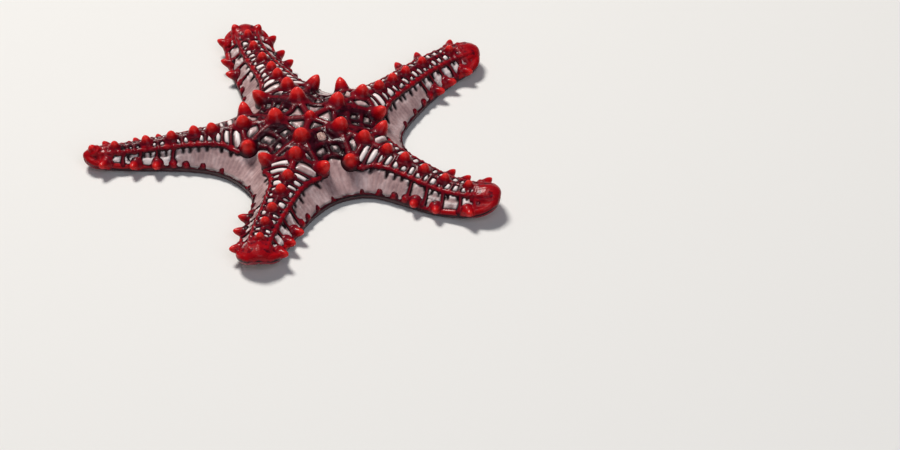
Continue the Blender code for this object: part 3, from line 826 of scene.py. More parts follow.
def join_as(name, pieces):
    """Join objects into one, and name it."""
    pick(pieces)
    bpy.ops.object.join()
    whole = bpy.context.object
    whole.name = whole.data.name = name
    return whole


# %% Helpers to move corners and to mark them


def corners(mesh):
    flat = np.empty(len(mesh.vertices) * 3, np.float32)
    mesh.vertices.foreach_get("co", flat)
    return flat.reshape(-1, 3)


def put_corners(mesh, points):
    mesh.vertices.foreach_set("co", np.ascontiguousarray(points, np.float32).ravel())
    mesh.update()


def put_attribute(mesh, name, values):
    layer = mesh.attributes.get(name) or mesh.attributes.new(name, "FLOAT", "POINT")
    values = np.broadcast_to(np.asarray(values, np.float32), len(mesh.vertices))
    layer.data.foreach_set("value", np.ascontiguousarray(values))


def read_attribute(mesh, name):
    values = np.empty(len(mesh.vertices), np.float32)
    mesh.attributes[name].data.foreach_get("value", values)
    return values


print("corners of the solid disc:", len(corners(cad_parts["disc"].data)))

# %% [markdown]
# Four kinds of grid make up one arm: its back, its underside and its two side walls.  All of them
# take their rows at the same distances along the arm, so that their edges meet corner to corner.

# %% Rows and columns of the grids
DISC_ROWS = 44
ARM_ROW = 0.85          # mm from row to row on the arm
END_ROWS = 12
BACK_COLUMNS = 48
UNDER_COLUMNS = 20
WALL_COLUMNS = len(WALL_CURVE) - 1


def stations(arm):
    """Distances of the rows: even on the disc and the arm, then closer round the end."""
    disc = np.linspace(0, NOTCH_ALONG, DISC_ROWS + 1)
    start = arm.length - TIP_ROUND
    middle = np.linspace(NOTCH_ALONG, start, int((start - NOTCH_ALONG) / ARM_ROW) + 1)[1:]
    end = start + TIP_ROUND * np.sin(np.linspace(0, math.pi / 2, END_ROWS + 1))[1:]
    return np.concatenate((disc, middle, end))


print("rows of each arm:", [len(stations(arm)) for arm in ARMS])

# %% The grids of one arm


def add_grid(rows, columns, shape):
    """A flat grid, each corner moved to shape(row, column); shape also gives the attributes."""
    deselect()
    bpy.ops.mesh.primitive_grid_add(x_subdivisions=columns, y_subdivisions=rows, size=1)
    grid = bpy.context.object
    column, row = np.rint((corners(grid.data)[:, :2] + 0.5) * (columns, rows)).astype(int).T
    points, marks = shape(row, column)
    put_corners(grid.data, points)
    for name, values in marks.items():
        put_attribute(grid.data, name, values)
    return grid


def body_marks(arm, t, under):
    """How far along the arm a corner is, from the seam as a share and from the middle in mm, and
    whether it is below: 0 on the back, 1 on the underside."""
    return {"span": along(arm, t), "far": t, "under": under + 0 * t}


def back_grid(arm):
    rows = stations(arm)

    def shape(row, column):
        t, v = rows[row], column / (BACK_COLUMNS / 2) - 1
        return back(arm, t, v), body_marks(arm, t, 0.0)

    return add_grid(len(rows) - 1, BACK_COLUMNS, shape)


def under_grid(arm):
    rows = stations(arm)

    def shape(row, column):
        t, share = rows[row], column / (UNDER_COLUMNS / 2) - 1
        return underside(arm, t, share), body_marks(arm, t, 1.0)

    return add_grid(len(rows) - 1, UNDER_COLUMNS, shape)


def wall_grid(arm, side):
    rows = stations(arm)[DISC_ROWS:]
    insets, shares = np.array(WALL_CURVE).T

    def shape(row, column):
        t = rows[row]
        z = np.maximum(shares[column] * MARGIN_HEIGHT, SKIN_LIFT)
        return wall(arm, t, side, insets[column], z), body_marks(arm, t, column / WALL_COLUMNS)

    return add_grid(len(rows) - 1, WALL_COLUMNS, shape)


print("columns all round an arm:", BACK_COLUMNS + UNDER_COLUMNS + 2 * WALL_COLUMNS)

# %% Join the grids into one skin
MERGE_WITHIN = 0.03 * MM
skin_parts = []
for arm in ARMS:
    skin_parts += [back_grid(arm), under_grid(arm), wall_grid(arm, 1), wall_grid(arm, -1)]
skin = join_as("skin", skin_parts)
bpy.ops.object.mode_set(mode="EDIT")
bpy.ops.mesh.select_all(action="SELECT")
bpy.ops.mesh.remove_doubles(threshold=MERGE_WITHIN)
bpy.ops.mesh.dissolve_degenerate(threshold=MERGE_WITHIN / 3)
bpy.ops.mesh.normals_make_consistent(inside=False)
bpy.ops.object.mode_set(mode="OBJECT")
print("skin corners:", len(skin.data.vertices), "faces:", len(skin.data.polygons))

# %% [markdown]
# ### Marks on the skin: the nearest cord and the margin
#
# The skin beside a cord is lower and carries painted shade, so each corner learns how far the
# nearest cord is.  The flanks are finely ribbed, square to the margin, with painted shade between the
# ribs.  So each corner also learns which place of the margin is nearest, as a length along it, and the
# material draws a rib every few millimetres of it.

# %% Measure the skin against the cords and the margin


def tree_of(points):
    """Points sorted so that the nearest one to any place is found quickly."""
    tree = kdtree.KDTree(len(points))
    for number, point in enumerate(points):
        tree.insert(point, number)
    tree.balance()
    return tree


def nearest(tree, places):
    """For every place, the number of the nearest point in the tree and its distance in metres."""
    found = [tree.find(spot) for spot in places]
    return np.array([hit[1] for hit in found]), np.array([hit[2] for hit in found])


places = corners(skin.data)
cord_points = np.concatenate([cord.points for cord in cords])
cord_radii = np.concatenate([cord.radii for cord in cords])
cord_tree = tree_of(cord_points)
cord_number, distance = nearest(cord_tree, places)
near_cord = distance / MM - cord_radii[cord_number]
put_attribute(skin.data, "near", near_cord)

MARGIN_STEP = 0.25     # mm from point to point of a margin
margin_points, margin_lengths = [], []
for arm in ARMS:
    for side in (1, -1):
        line = wall(arm, np.arange(NOTCH_ALONG, arm.length, MARGIN_STEP), side, 0.0, MARGIN_HEIGHT)
        steps = np.linalg.norm(np.diff(line, axis=0), axis=1)
        margin_points.append(line)
        margin_lengths.append(np.concatenate(([0.0], np.cumsum(steps))) / MM)
margin_number, _ = nearest(tree_of(np.concatenate(margin_points)), places)
put_attribute(skin.data, "rib", np.concatenate(margin_lengths)[margin_number])
print("skin corners under a cord:", int((near_cord < 0).sum()))

# %% [markdown]
# ### Windows
#
# A window is skin with cords all round it.  To find the corners in windows, we look from each one to
# all the points of cords within a few millimetres.  In a window they lie in all directions, and the
# directions cancel out; on open skin they lie on one side.

# %% Find the windows
WINDOW_REACH = 5.2     # mm: how far we look for cords
OPEN_SKIN = 5.0        # mm from any cord, past which a corner is surely not in a window
FEWEST_POINTS = 5      # of cords, fewer than which are no ring round a window
ONE_SIDED = 0.40       # length of the mean direction, up to which a corner is in a window
HALF_SIDED = 0.25      # over this much more, the window fades out
WINDOW_DEPTH = 2.6     # mm from its cords, past which a window fades into open skin
WINDOW_FADE = 1.4      # over this much more
under = read_attribute(skin.data, "under")
enclosed = np.zeros(len(places))
for i in np.nonzero((near_cord < OPEN_SKIN) & (near_cord > 0.0) & (under < 0.3))[0]:
    found = cord_tree.find_range(places[i], WINDOW_REACH * MM)
    ways = cord_points[[hit[1] for hit in found]] - places[i]
    if len(ways) > FEWEST_POINTS:
        mean_way = (ways / np.linalg.norm(ways, axis=1)[:, None]).mean(axis=0)
        enclosed[i] = 1 - smoothstep((np.linalg.norm(mean_way) - ONE_SIDED) / HALF_SIDED)
enclosed *= 1 - smoothstep((near_cord - WINDOW_DEPTH) / WINDOW_FADE)
put_attribute(skin.data, "enclosed", enclosed)
print("skin corners in windows:", int((enclosed > 0.5).sum()))

# %% [markdown]
# ### Swell the skin
#
# Living skin is never quite even.  It sinks beside the cords, swells between them, most of all in
# the windows, and has shallow lumps.  Each corner is moved in or out along its own normal.

# %% Move the corners in and out
SINK = 0.45            # mm, under and beside a cord
SWELL = 0.55           # mm, from the sunk skin to the open skin, and as much again in a window
SWELL_OVER = 1.8       # mm from a cord over which the skin rises
WINDOW_SOONER = 0.8    # mm by which that is less in a window
LUMP_HEIGHT = 0.35     # mm
LUMPS = 110            # for each metre
directions = np.empty(len(places) * 3, np.float32)
skin.data.vertices.foreach_get("normal", directions)
directions = directions.reshape(-1, 3)
rising = smoothstep(near_cord / (SWELL_OVER - WINDOW_SOONER * enclosed))
swell = SWELL * (1 + enclosed) * rising - SINK
uneven = np.array([noise.noise(Vector(spot) * LUMPS) for spot in places]) * LUMP_HEIGHT
above_ground = 1 - smoothstep(under * 2)
put_corners(skin.data, places + directions * ((swell + uneven) * above_ground * MM)[:, None])
pick([skin])
bpy.ops.object.shade_smooth()
print("skin sinks and swells, mm:", np.round([swell.min(), swell.max()], 2))

# %% [markdown]
# ## One knob, modelled once
#
# A knob is a blunt cone with a spreading foot.  It starts as a flat cylinder, one unit wide and tall
# in all; its top is extruded and narrowed, step by step.  Each knob of the animal is a copy with its
# own mesh, stretched to its radius and height and stood on its place.

# %% Model the knob
# Height and radius of each ring, as shares of the knob's own; the foot spreads into the net.
KNOB_RINGS = ((0.0, 1.40), (0.09, 1.14), (0.22, 0.97), (0.40, 0.85), (0.58, 0.73), (0.74, 0.57),
              (0.87, 0.38), (0.96, 0.19), (1.0, 0.05))
KNOB_SIDES = 20
KNOB_ROOT = 0.3        # how deep the foot reaches under the skin, as a share of the height


def extrude_rings(rings):
    """Extrude the selected face up through rings, given as pairs of height and radius."""
    for (low, wide), (high, narrow) in zip(rings, rings[1:]):
        bpy.ops.mesh.extrude_region_move(TRANSFORM_OT_translate={"value": (0, 0, high - low)})
        bpy.ops.transform.resize(value=(narrow / wide, narrow / wide, 1))


deselect()
bpy.ops.mesh.primitive_cylinder_add(vertices=KNOB_SIDES, radius=KNOB_RINGS[0][1], depth=KNOB_ROOT,
                                    location=(0, 0, -KNOB_ROOT / 2))
knob_pattern = bpy.context.object
knob_pattern.name = "knob"
bpy.ops.object.transform_apply(location=True, rotation=True, scale=True)
bpy.ops.object.mode_set(mode="EDIT")
bpy.ops.mesh.select_mode(type="FACE")
bpy.ops.mesh.select_all(action="DESELECT")
bpy.ops.object.mode_set(mode="OBJECT")
for face in knob_pattern.data.polygons:
    face.select = face.normal.z > 0.9
bpy.ops.object.mode_set(mode="EDIT")
extrude_rings(KNOB_RINGS)
bpy.ops.object.mode_set(mode="OBJECT")
print("faces of the pattern knob:", len(knob_pattern.data.polygons))


def stand_copy(pattern, foot, way, radius, height):
    """A copy of a pattern with its own mesh, stood on its foot and pointing its way."""
    turn = Vector(way).to_track_quat("Z", "Y").to_matrix().to_4x4()
    size = Matrix.Diagonal((radius, radius, height, 1.0))
    mesh = pattern.data.copy()
    mesh.transform(Matrix.Translation(foot) @ turn @ Matrix.Scale(MM, 4) @ size)
    made = bpy.data.objects.new(pattern.name, mesh)
    bpy.context.collection.objects.link(made)
    return made


# %% [markdown]
# ## The net
#
# A cord becomes a curve with a round bevel, thick at its ends and thin in its middle, so that the
# windows come out oval.  Curves and knobs of one area are turned to mesh and joined.  They still
# pass through each other, so a Remesh modifier rebuilds them as one closed surface from a fine
# lattice, and a Smooth modifier rounds the corners where cords meet, as skin would.

# %% Cords as curves, and modifiers


def cords_as_mesh(own_cords):
    """One curve with a stretch for each cord, turned to mesh."""
    curve = bpy.data.curves.new("cords", "CURVE")
    curve.dimensions = "3D"
    curve.bevel_depth = MM                # a point's radius then counts in millimetres
    curve.bevel_resolution = 2            # eight sides, enough for the lattice that follows
    curve.use_fill_caps = True
    for cord in own_cords:
        spline = curve.splines.new("POLY")
        spline.points.add(len(cord.points) - 1)
        spline.points.foreach_set("co", np.column_stack((cord.points, np.ones(len(cord.points)))).ravel())
        spline.points.foreach_set("radius", cord.radii)
    made = bpy.data.objects.new("cords", curve)
    bpy.context.collection.objects.link(made)
    pick([made])
    bpy.ops.object.convert(target="MESH")
    return bpy.context.object


def add_modifier(kind, **settings):
    """Add a modifier to the active object, set it and apply it."""
    made = bpy.context.object.modifiers.new(kind.title(), kind)
    for key, value in settings.items():
        setattr(made, key, value)
    bpy.ops.object.modifier_apply(modifier=made.name)


print("cords of the disc:", sum(cord.area == "disc" for cord in cords))

# %% [markdown]
# Painted shade deepens the red towards the foot of a cord, and a painted highlight brightens its
# crest.  A knob brightens towards its top, partly in its own orange red and partly by a painted
# highlight, and is darker at its foot with painted shade.  So every corner of a net gets a tone: that
# of the nearest cord, darker low down and brighter on its crest, or that of a knob, which rises with
# height.

# %% The tone of every corner
SHADE, SHINE = 0.04, 1.30          # painted shade and highlight: a cord's tone counts for this share below, and this much more on top
CREST_STEEP, CREST_LATE = 1.30, 0.32       # how steeply it rises towards the crest, and how late
KNOB_SHADE, KNOB_SHINE = 0.14, 0.92        # the same for a knob: painted shade at its foot, and a top brightened partly by painted highlight
KNOB_FROM, KNOB_OVER = 0.06, 0.75  # shares of its height between which it brightens
KNOB_REACH, KNOB_EDGE = 1.5, 0.5   # in radii: how wide a knob's tone spreads, and how softly it ends


def tone_of(points, own_cords, own_knobs):
    spots, ups, radii, tones = (np.concatenate([getattr(cord, part) for cord in own_cords])
                                for part in ("points", "ups", "radii", "tones"))
    number, _ = nearest(tree_of(spots), points)
    rise = np.einsum("ij,ij->i", points - spots[number], ups[number]) / MM / radii[number]
    # Painted shade low on a cord, painted highlight on its crest.
    tones = tones[number] * (SHADE + SHINE * smoothstep(rise * CREST_STEEP - CREST_LATE))
    for knob in own_knobs:
        way = np.array(knob.way)
        local = (points - np.array(knob.foot)) / MM
        up = local @ way
        off = np.linalg.norm(local - up[:, None] * way, axis=1)
        inside = smoothstep((knob.radius * KNOB_REACH - off) / (knob.radius * KNOB_EDGE))
        # Painted shade at a knob's foot; its top brightens, partly its own colour and partly painted
        # highlight.
        rise = KNOB_SHADE + KNOB_SHINE * smoothstep((up / knob.height - KNOB_FROM) / KNOB_OVER)
        tones = np.maximum(tones, np.where(up > -1.0, inside * (knob.tone * rise), 0.0))
    return tones


first = knobs[0]
print("tone at the top of the middle knob:",
      np.round(tone_of(np.array([first.foot + first.way * first.height * MM]), cords, [first]), 2)[0])

# %% [markdown]
# Where a cord just grazes a corner of the lattice, the Remesh modifier can leave a loose crumb of a
# few faces.  Separating by loose parts finds them: the largest part is the net, and the others go.

# %% Drop the crumbs


def drop_crumbs(piece):
    """Keep the largest of a piece's loose parts, under the piece's name."""
    name = piece.name
    pick([piece])
    bpy.ops.mesh.separate(type="LOOSE")
    *crumbs, largest = sorted(bpy.context.selected_objects, key=lambda part: len(part.data.vertices))
    for crumb in crumbs:
        bpy.data.meshes.remove(crumb.data)      # its object goes with it
    largest.name = largest.data.name = name
    pick([largest])
    print(name, "crumbs dropped:", len(crumbs))
    return largest


# %% Build the nets
DISC_VOXEL, ARM_VOXEL = 0.50, 0.42     # mm between the corners of the rebuilt surface
SMOOTHING = 5
nets = []
for area in ["disc"] + [arm.name for arm in ARMS]:
    own_cords = [cord for cord in cords if cord.area == area]
    own_knobs = [knob for knob in knobs if knob.area == area]
    parts = [cords_as_mesh(own_cords)]
    parts += [stand_copy(knob_pattern, knob.foot, knob.way, knob.radius, knob.height) for knob in own_knobs]
    net = join_as("net_" + area, parts)
    voxel = DISC_VOXEL if area == "disc" else ARM_VOXEL
    add_modifier("REMESH", mode="VOXEL", voxel_size=voxel * MM, use_smooth_shade=True)
    net = drop_crumbs(net)
    add_modifier("SMOOTH", factor=0.5, iterations=SMOOTHING)
    put_attribute(net.data, "tone", tone_of(corners(net.data), own_cords, own_knobs))
    nets.append(net)
    print(net.name, "faces:", len(net.data.polygons))
bpy.data.objects.remove(knob_pattern)

# %% [markdown]
# ## Sieve plate
#
# The sieve plate lets sea water in.  It is a chalky button with grooves that wind out from its
# middle.  A sphere with many segments is flattened, and its upper half is pressed into waves.

# %% Sieve plate
PLATE_RADIUS = 2.95
PLATE_RISE = 0.25                    # mm above the middle of the solid plate
PLATE_FROM_MIDDLE = 16.5             # where it lies on the slope of the dome
DOME_SHARE, BELLY_SHARE = 0.30, 0.35  # heights of its upper and lower half, as shares of the radius
GROOVE_COUNT = 16
WAVE_HEIGHT = 0.13                   # of the grooves, as a share of the radius
WINDING = 2.2                        # how far a groove winds, in radians of its wave
FLAT_MIDDLE, FLAT_OVER = 0.12, 0.25  # the middle is flat so far out, and the grooves deepen over this
RIM = 0.15                           # and fade out over this, at the rim
plate_low, plate_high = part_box("madreporite")
plate_middle = np.array([(low + high) / 2 for low, high in zip(plate_low, plate_high)])
plate_turn = math.radians(FIRST_HEADING) - HALF_SECTOR
plate_slope = math.atan(2 * (DISC_HEIGHT - MARGIN_HEIGHT) * PLATE_FROM_MIDDLE / NOTCH_RADIUS ** 2)
deselect()
bpy.ops.mesh.primitive_uv_sphere_add(segments=72, ring_count=36, radius=1)
plate = bpy.context.object
plate.name = plate.data.name = "sieve_plate"
points = corners(plate.data).astype(float)
reach = np.hypot(points[:, 0], points[:, 1])
angle = np.arctan2(points[:, 1], points[:, 0])
winding = np.sin(angle * GROOVE_COUNT + WINDING * np.sin(reach * 9 + 3 * angle))
groove = WAVE_HEIGHT * winding * smoothstep((reach - FLAT_MIDDLE) / FLAT_OVER)
groove *= smoothstep((1 - reach) / RIM)
height = points[:, 2]
points[:, 2] = np.where(height > 0, height * DOME_SHARE + groove, height * BELLY_SHARE)
lay = Matrix.Rotation(plate_turn, 3, "Z") @ Matrix.Rotation(plate_slope, 3, "Y")
points = points * PLATE_RADIUS @ np.array(lay).T
put_corners(plate.data, points * MM + plate_middle + np.array((0, 0, PLATE_RISE * MM)))
bpy.ops.object.shade_smooth()
print("sieve plate at, mm:", np.round(plate_middle / MM, 1))

# %% [markdown]
# ## Mouth
#
# The mouth is a soft puckered ring in the pit under the disc: a torus, with small waves round it.

# %% Lips
LIPS_RADIUS, LIPS_THICK = 3.0, 1.15        # of the ring, and of the lips themselves
PUCKERS, PUCKER_HEIGHT = 20, 0.12
deselect()
ring_middle = (mouth_low[2] + mouth_high[2]) / 2
bpy.ops.mesh.primitive_torus_add(major_segments=60, minor_segments=16, major_radius=LIPS_RADIUS * MM,
                                 minor_radius=LIPS_THICK * MM, location=(CENTRE[0], CENTRE[1], ring_middle))
lips = bpy.context.object
lips.name = lips.data.name = "lips"
bpy.ops.object.transform_apply(location=True, rotation=True, scale=True)
points = corners(lips.data).astype(float)
angle = np.arctan2(points[:, 1] - CENTRE[1], points[:, 0] - CENTRE[0])
points[:, 2] += PUCKER_HEIGHT * MM * np.sin(angle * PUCKERS)
put_corners(lips.data, points)
bpy.ops.object.shade_smooth()
print("faces of the lips:", len(lips.data.polygons))

# %% [markdown]
# ## Tube feet and furrow spines
#
# The animal walks on hundreds of tube feet, in two rows in each furrow, and rows of short spines
# fold over the furrow to guard them.  In a resting animal the feet are drawn in.  One foot and one
# spine are modelled, copied along the furrows and joined, a few dozen faces each.

# %% Model one tube foot and one furrow spine
FOOT_RINGS = ((0, 0.75), (0.3, 0.6), (0.62, 0.55), (0.78, 0.95), (0.92, 1.0), (1.0, 0.7))
SPINE_RINGS = ((0, 0.8), (0.25, 1.0), (0.7, 0.85), (0.95, 0.5), (1.0, 0.2))


def turned(name, sides, rings):
    """A closed piece one unit tall, extruded ring by ring: pairs of height and radius."""
    deselect()
    bpy.ops.mesh.primitive_circle_add(vertices=sides, radius=rings[0][1], fill_type="NGON")
    made = bpy.context.object
    made.name = name
    bpy.ops.object.mode_set(mode="EDIT")
    bpy.ops.mesh.select_all(action="SELECT")
    extrude_rings(rings)
    bpy.ops.mesh.select_all(action="SELECT")
    bpy.ops.mesh.normals_make_consistent(inside=False)
    bpy.ops.object.mode_set(mode="OBJECT")
    return made


foot_pattern = turned("foot", 10, FOOT_RINGS)
spine_pattern = turned("spine", 6, SPINE_RINGS)
print("faces of one foot and one spine:", len(foot_pattern.data.polygons), len(spine_pattern.data.polygons))

# %% Copy them along the furrows
FOOT_STEP, FOOT_SIZE, FOOT_LENGTH = 2.5, 0.85, 2.6
FOOT_OFF, FOOT_UP = 0.95, 0.95 * GROOVE_DEPTH      # a foot's root, off the middle line and up
SPINE_STEP, SPINE_SIZE, SPINE_LENGTH = 1.7, 0.42, 2.3
SPINE_OFF, SPINE_UP = 0.3, 0.55                    # a spine's root, off the furrow's edge and up
FEET_FROM, SPINES_FROM = MOUTH_RADIUS + 3.0, MOUTH_RADIUS + 1.0
FURROW_END = 7.0                                   # both rows stop this far before the arm's end


def shrink(arm, t):
    """How much smaller a furrow, and what stands in it, is at t."""
    return float(1 - GROOVE_NARROWING * along(arm, t))


def beneath(arm, t, across, up):
    """A point beneath the arm, raised where the arm curls up."""
    lift = max(float(settle(arm, t, 0.0)), 0.0)
    return Vector(place(arm, t, across, up + lift))


feet, spines = [], []
for arm in ARMS:
    turn = Matrix.Rotation(heading(arm), 3, "Z")
    for side in (1, -1):
        for t in np.arange(FEET_FROM, arm.length - FURROW_END, FOOT_STEP):
            size = shrink(arm, t)
            root = beneath(arm, t, side * FOOT_OFF * size, FOOT_UP * size)
            way = Vector((random.uniform(-0.25, 0.25), side * random.uniform(-0.2, 0.3), -1))
            feet.append(stand_copy(foot_pattern, root, turn @ way, FOOT_SIZE * size, FOOT_LENGTH * size))
        for t in np.arange(SPINES_FROM, arm.length - FURROW_END, SPINE_STEP):
            size = shrink(arm, t)
            root = beneath(arm, t, side * (GROOVE_HALF_WIDTH * size + SPINE_OFF), SPINE_UP)
            way = Vector((random.uniform(-0.2, 0.2), -side, random.uniform(0.15, 0.4)))
            spines.append(stand_copy(spine_pattern, root, turn @ way, SPINE_SIZE, SPINE_LENGTH * size))
tube_feet = join_as("tube_feet", feet)
bpy.ops.object.shade_smooth()
furrow_spines = join_as("furrow_spines", spines)
bpy.ops.object.shade_smooth()
bpy.data.objects.remove(foot_pattern)
bpy.data.objects.remove(spine_pattern)
print("tube feet:", len(feet), "furrow spines:", len(spines))

# %% [markdown]
# ## Finishes
#
# Colours are written as hex codes, which are sRGB, and turned to the linear numbers that Blender
# mixes.  Every finish begins with its shader and with object coordinates counted in millimetres, so
# that a pattern with a scale of 1 / 5 repeats about every 5 mm.  One helper adds any kind of node.

# %% Helpers for finishes
FLESH_IOR = 1.40       # how strongly wet tissue bends light
WATER_IOR = 1.33       # and the film of sea water on it
LIME_IOR = 1.58        # calcite, which the plates and spines are made of


def colour(code):
    """Linear red, green and blue, and full cover, from an sRGB hex code."""
    parts = [int(code[i:i + 2], 16) / 255 for i in (1, 3, 5)]
    return [p / 12.92 if p <= 0.04045 else ((p + 0.055) / 1.055) ** 2.4 for p in parts] + [1.0]


def fill_inputs(tree, node, inputs):
    """Link inputs that are given as another node's output, and set the others."""
    for key, value in inputs.items():
        if isinstance(value, bpy.types.NodeSocket):
            tree.links.new(value, node.inputs[key])
        else:
            node.inputs[key].default_value = value


def add_node(tree, kind, inputs, output=0, stops=(), **settings):
    """Add a node with its settings, its colour stops if any, and its links; give back an output."""
    node = tree.nodes.new("ShaderNode" + kind)
    for key, value in settings.items():
        setattr(node, key, value)
    for number in range(2, len(stops)):
        node.color_ramp.elements.new(1.0)
    for number, (position, code) in enumerate(stops):
        node.color_ramp.elements[number].position = position
        node.color_ramp.elements[number].color = colour(code)
    fill_inputs(tree, node, inputs)
    return node.outputs[output]


def new_finish(name):
    """A material, its node tree, its shader, and object coordinates in millimetres."""
    finish = bpy.data.materials.new(name)
    finish.use_nodes = True
    tree = finish.node_tree
    metres = add_node(tree, "TexCoord", {}, "Object")
    where = add_node(tree, "VectorMath", {0: metres, 1: (1 / MM,) * 3}, operation="MULTIPLY")
    return finish, tree, tree.nodes["Principled BSDF"], where


print("grey of the skin in linear numbers:", np.round(colour("#bb9a99")[:3], 3))

# %% [markdown]
# ### Wet grey skin
#
# Between the cords lies wet living leather, a dull grey mauve in soft blotches, ribbed on the flanks
# and grained all over.  Beside a cord it falls away into painted shade of dark wine red, and the
# valleys between the ribs and the lower wall get painted shade too.  In the windows it swells and is
# pale, and a painted wet sheen makes the windows of the arms nearly white; on the disc the windows
# are duller.  The tips are crimson and the underside is pale.  We could paint all this by hand.  But
# the marks on the mesh already say where each of these places is, so a chain of mixes does it, from
# the ground colour up.

# %% Skin: patterns and marks
BLOTCH = 9.0           # mm across a blotch
SPECK = 1.3            # mm across a speck
RIB_STEP = 2.2         # mm from rib to rib, coarser than real, so that the ribs show
GRAIN = 0.85           # mm across a grain, coarser than real too
WINDOWS_FROM, WINDOWS_TO = 29.0, 40.0     # mm from the middle: from the duller windows to the bright ones, whitened by painted sheen
skin_finish, tree, shader, where = new_finish("wet_grey_starfish_skin")
mark = {name: add_node(tree, "Attribute", {}, "Fac", attribute_name=name)
        for name in ("span", "far", "under", "near", "rib", "enclosed")}
blotches = add_node(tree, "TexNoise", {"Vector": where, "Scale": 1 / BLOTCH, "Detail": 3.0, "Roughness": 0.6})
specks = add_node(tree, "TexNoise", {"Vector": where, "Scale": 1 / SPECK, "Detail": 2.0})
grains = add_node(tree, "TexVoronoi", {"Vector": where, "Scale": 1 / GRAIN, "Smoothness": 0.3},
                  feature="SMOOTH_F1")
above = add_node(tree, "Math", {0: 1.0, 1: mark["under"]}, operation="SUBTRACT")
on_flank = add_node(tree, "MapRange", {"Value": mark["near"], "From Min": 1.0, "From Max": 3.0},
                    interpolation_type="SMOOTHSTEP")
on_flank = add_node(tree, "Math", {0: on_flank, 1: above}, operation="MULTIPLY")
waver = add_node(tree, "Math", {0: blotches, 1: 3.0}, operation="MULTIPLY")
turns = add_node(tree, "Math", {0: mark["rib"], 1: 2 * math.pi / RIB_STEP, 2: waver},
                 operation="MULTIPLY_ADD")
wave = add_node(tree, "Math", {0: turns}, operation="SINE")
ribs = add_node(tree, "Math", {0: wave, 1: on_flank}, operation="MULTIPLY")
print("marks that the skin reads:", ", ".join(mark))

# %% [markdown]
# Each step of the chain has a share, from 0 to 1 over the surface, and a colour.  Most shares come
# from a Map Range node: it turns a mark, such as the distance to a cord, into a share that fades
# softly from To Min at one value of the mark to To Max at another.  Left alone, those are 0 and 1.

# %% Skin: shares on the back
SOFTLY = {"interpolation_type": "SMOOTHSTEP"}
speck_share = add_node(tree, "Math", {0: specks, 1: 0.30}, operation="MULTIPLY")
# Painted shade in the valleys between the ribs.
rib_shade_share = add_node(tree, "MapRange", {"Value": ribs, "From Min": 0.2, "From Max": -1.2,
                                           "To Max": 0.16}, **SOFTLY)
# Pale skin in the windows, whitened further by a painted wet sheen, most on the arms.
white = add_node(tree, "MapRange", {"Value": mark["far"], "From Min": WINDOWS_FROM, "From Max": WINDOWS_TO,
                                    "To Min": 0.35, "To Max": 0.95}, **SOFTLY)
window_pale_and_sheen_share = add_node(tree, "Math", {0: mark["enclosed"], 1: white}, operation="MULTIPLY")
# Beside a cord the band of painted shade is wider in the disc's windows and narrower in the arms'.
widen = add_node(tree, "MapRange", {"Value": mark["far"], "From Min": WINDOWS_FROM, "From Max": WINDOWS_TO,
                                    "To Min": 0.55, "To Max": -0.45}, **SOFTLY)
widen = add_node(tree, "Math", {0: mark["enclosed"], 1: widen}, operation="MULTIPLY")
beside = add_node(tree, "Math", {0: mark["near"], 1: widen}, operation="SUBTRACT")
cord_shade_share = add_node(tree, "MapRange", {"Value": beside, "From Min": 0.1, "From Max": 1.4,
                                           "To Min": 0.95, "To Max": 0.0}, **SOFTLY)
print("nodes so far:", len(tree.nodes))

# %% Skin: shares at the tips and below
# Painted shade on the lower wall, under the margin.
wall_foot_shade_share = add_node(tree, "MapRange", {"Value": mark["under"],
                                         "From Min": 0.05, "From Max": 0.35}, **SOFTLY)
# The crimson of a tip begins along a ragged line.
ragged = add_node(tree, "Math", {0: blotches, 1: 0.16, 2: mark["span"]}, operation="MULTIPLY_ADD")
tip_share = add_node(tree, "MapRange", {"Value": ragged, "From Min": 0.86, "From Max": 0.98}, **SOFTLY)
belly_share = add_node(tree, "MapRange", {"Value": mark["under"],
                                          "From Min": 0.75, "From Max": 0.98}, **SOFTLY)
not_tip = add_node(tree, "MapRange", {"Value": ragged, "From Min": 0.92, "From Max": 1.06,
                                      "To Min": 1.0, "To Max": 0.0}, **SOFTLY)
belly_share = add_node(tree, "Math", {0: belly_share, 1: not_tip}, operation="MULTIPLY")
print("nodes so far:", len(tree.nodes))

# %% Skin: mix the colours and set the gloss
grey = add_node(tree, "ValToRGB", {"Fac": blotches},
                stops=((0.30, "#957677"), (0.50, "#bb9a99"), (0.70, "#dfc4c3")))
belly = add_node(tree, "ValToRGB", {"Fac": blotches}, stops=((0.0, "#c9a898"), (1.0, "#b98f86")))
for share, tint in ((speck_share, colour("#74575a")),      # dull specks
                    (rib_shade_share, colour("#5d4650")),     # painted shade between the ribs
                    (window_pale_and_sheen_share, colour("#f8eae8")),     # pale swollen windows, with a painted wet sheen
                    (cord_shade_share, colour("#17040a")),     # painted shade beside a cord
                    (wall_foot_shade_share, colour("#3c151d")),       # painted shade on the lower wall
                    (tip_share, colour("#8a0c22")),        # the tips
                    (belly_share, belly)):                 # the underside
    grey = add_node(tree, "Mix", {"Factor": share, 6: grey, 7: tint}, 2, data_type="RGBA")
height = add_node(tree, "Math", {0: grains, 1: -0.5, 2: ribs}, operation="MULTIPLY_ADD")
relief = add_node(tree, "Bump", {"Strength": 0.45, "Distance": 0.22 * MM, "Height": height})
dullness = add_node(tree, "MapRange", {"Value": specks, "From Min": -0.6, "From Max": 1.6}, **SOFTLY)
fill_inputs(tree, shader, {"Base Color": grey, "Normal": relief, "Roughness": dullness, "IOR": FLESH_IOR,
                           "Coat Weight": 0.5, "Coat IOR": WATER_IOR, "Coat Roughness": 0.12})
print("nodes of the skin:", len(tree.nodes))
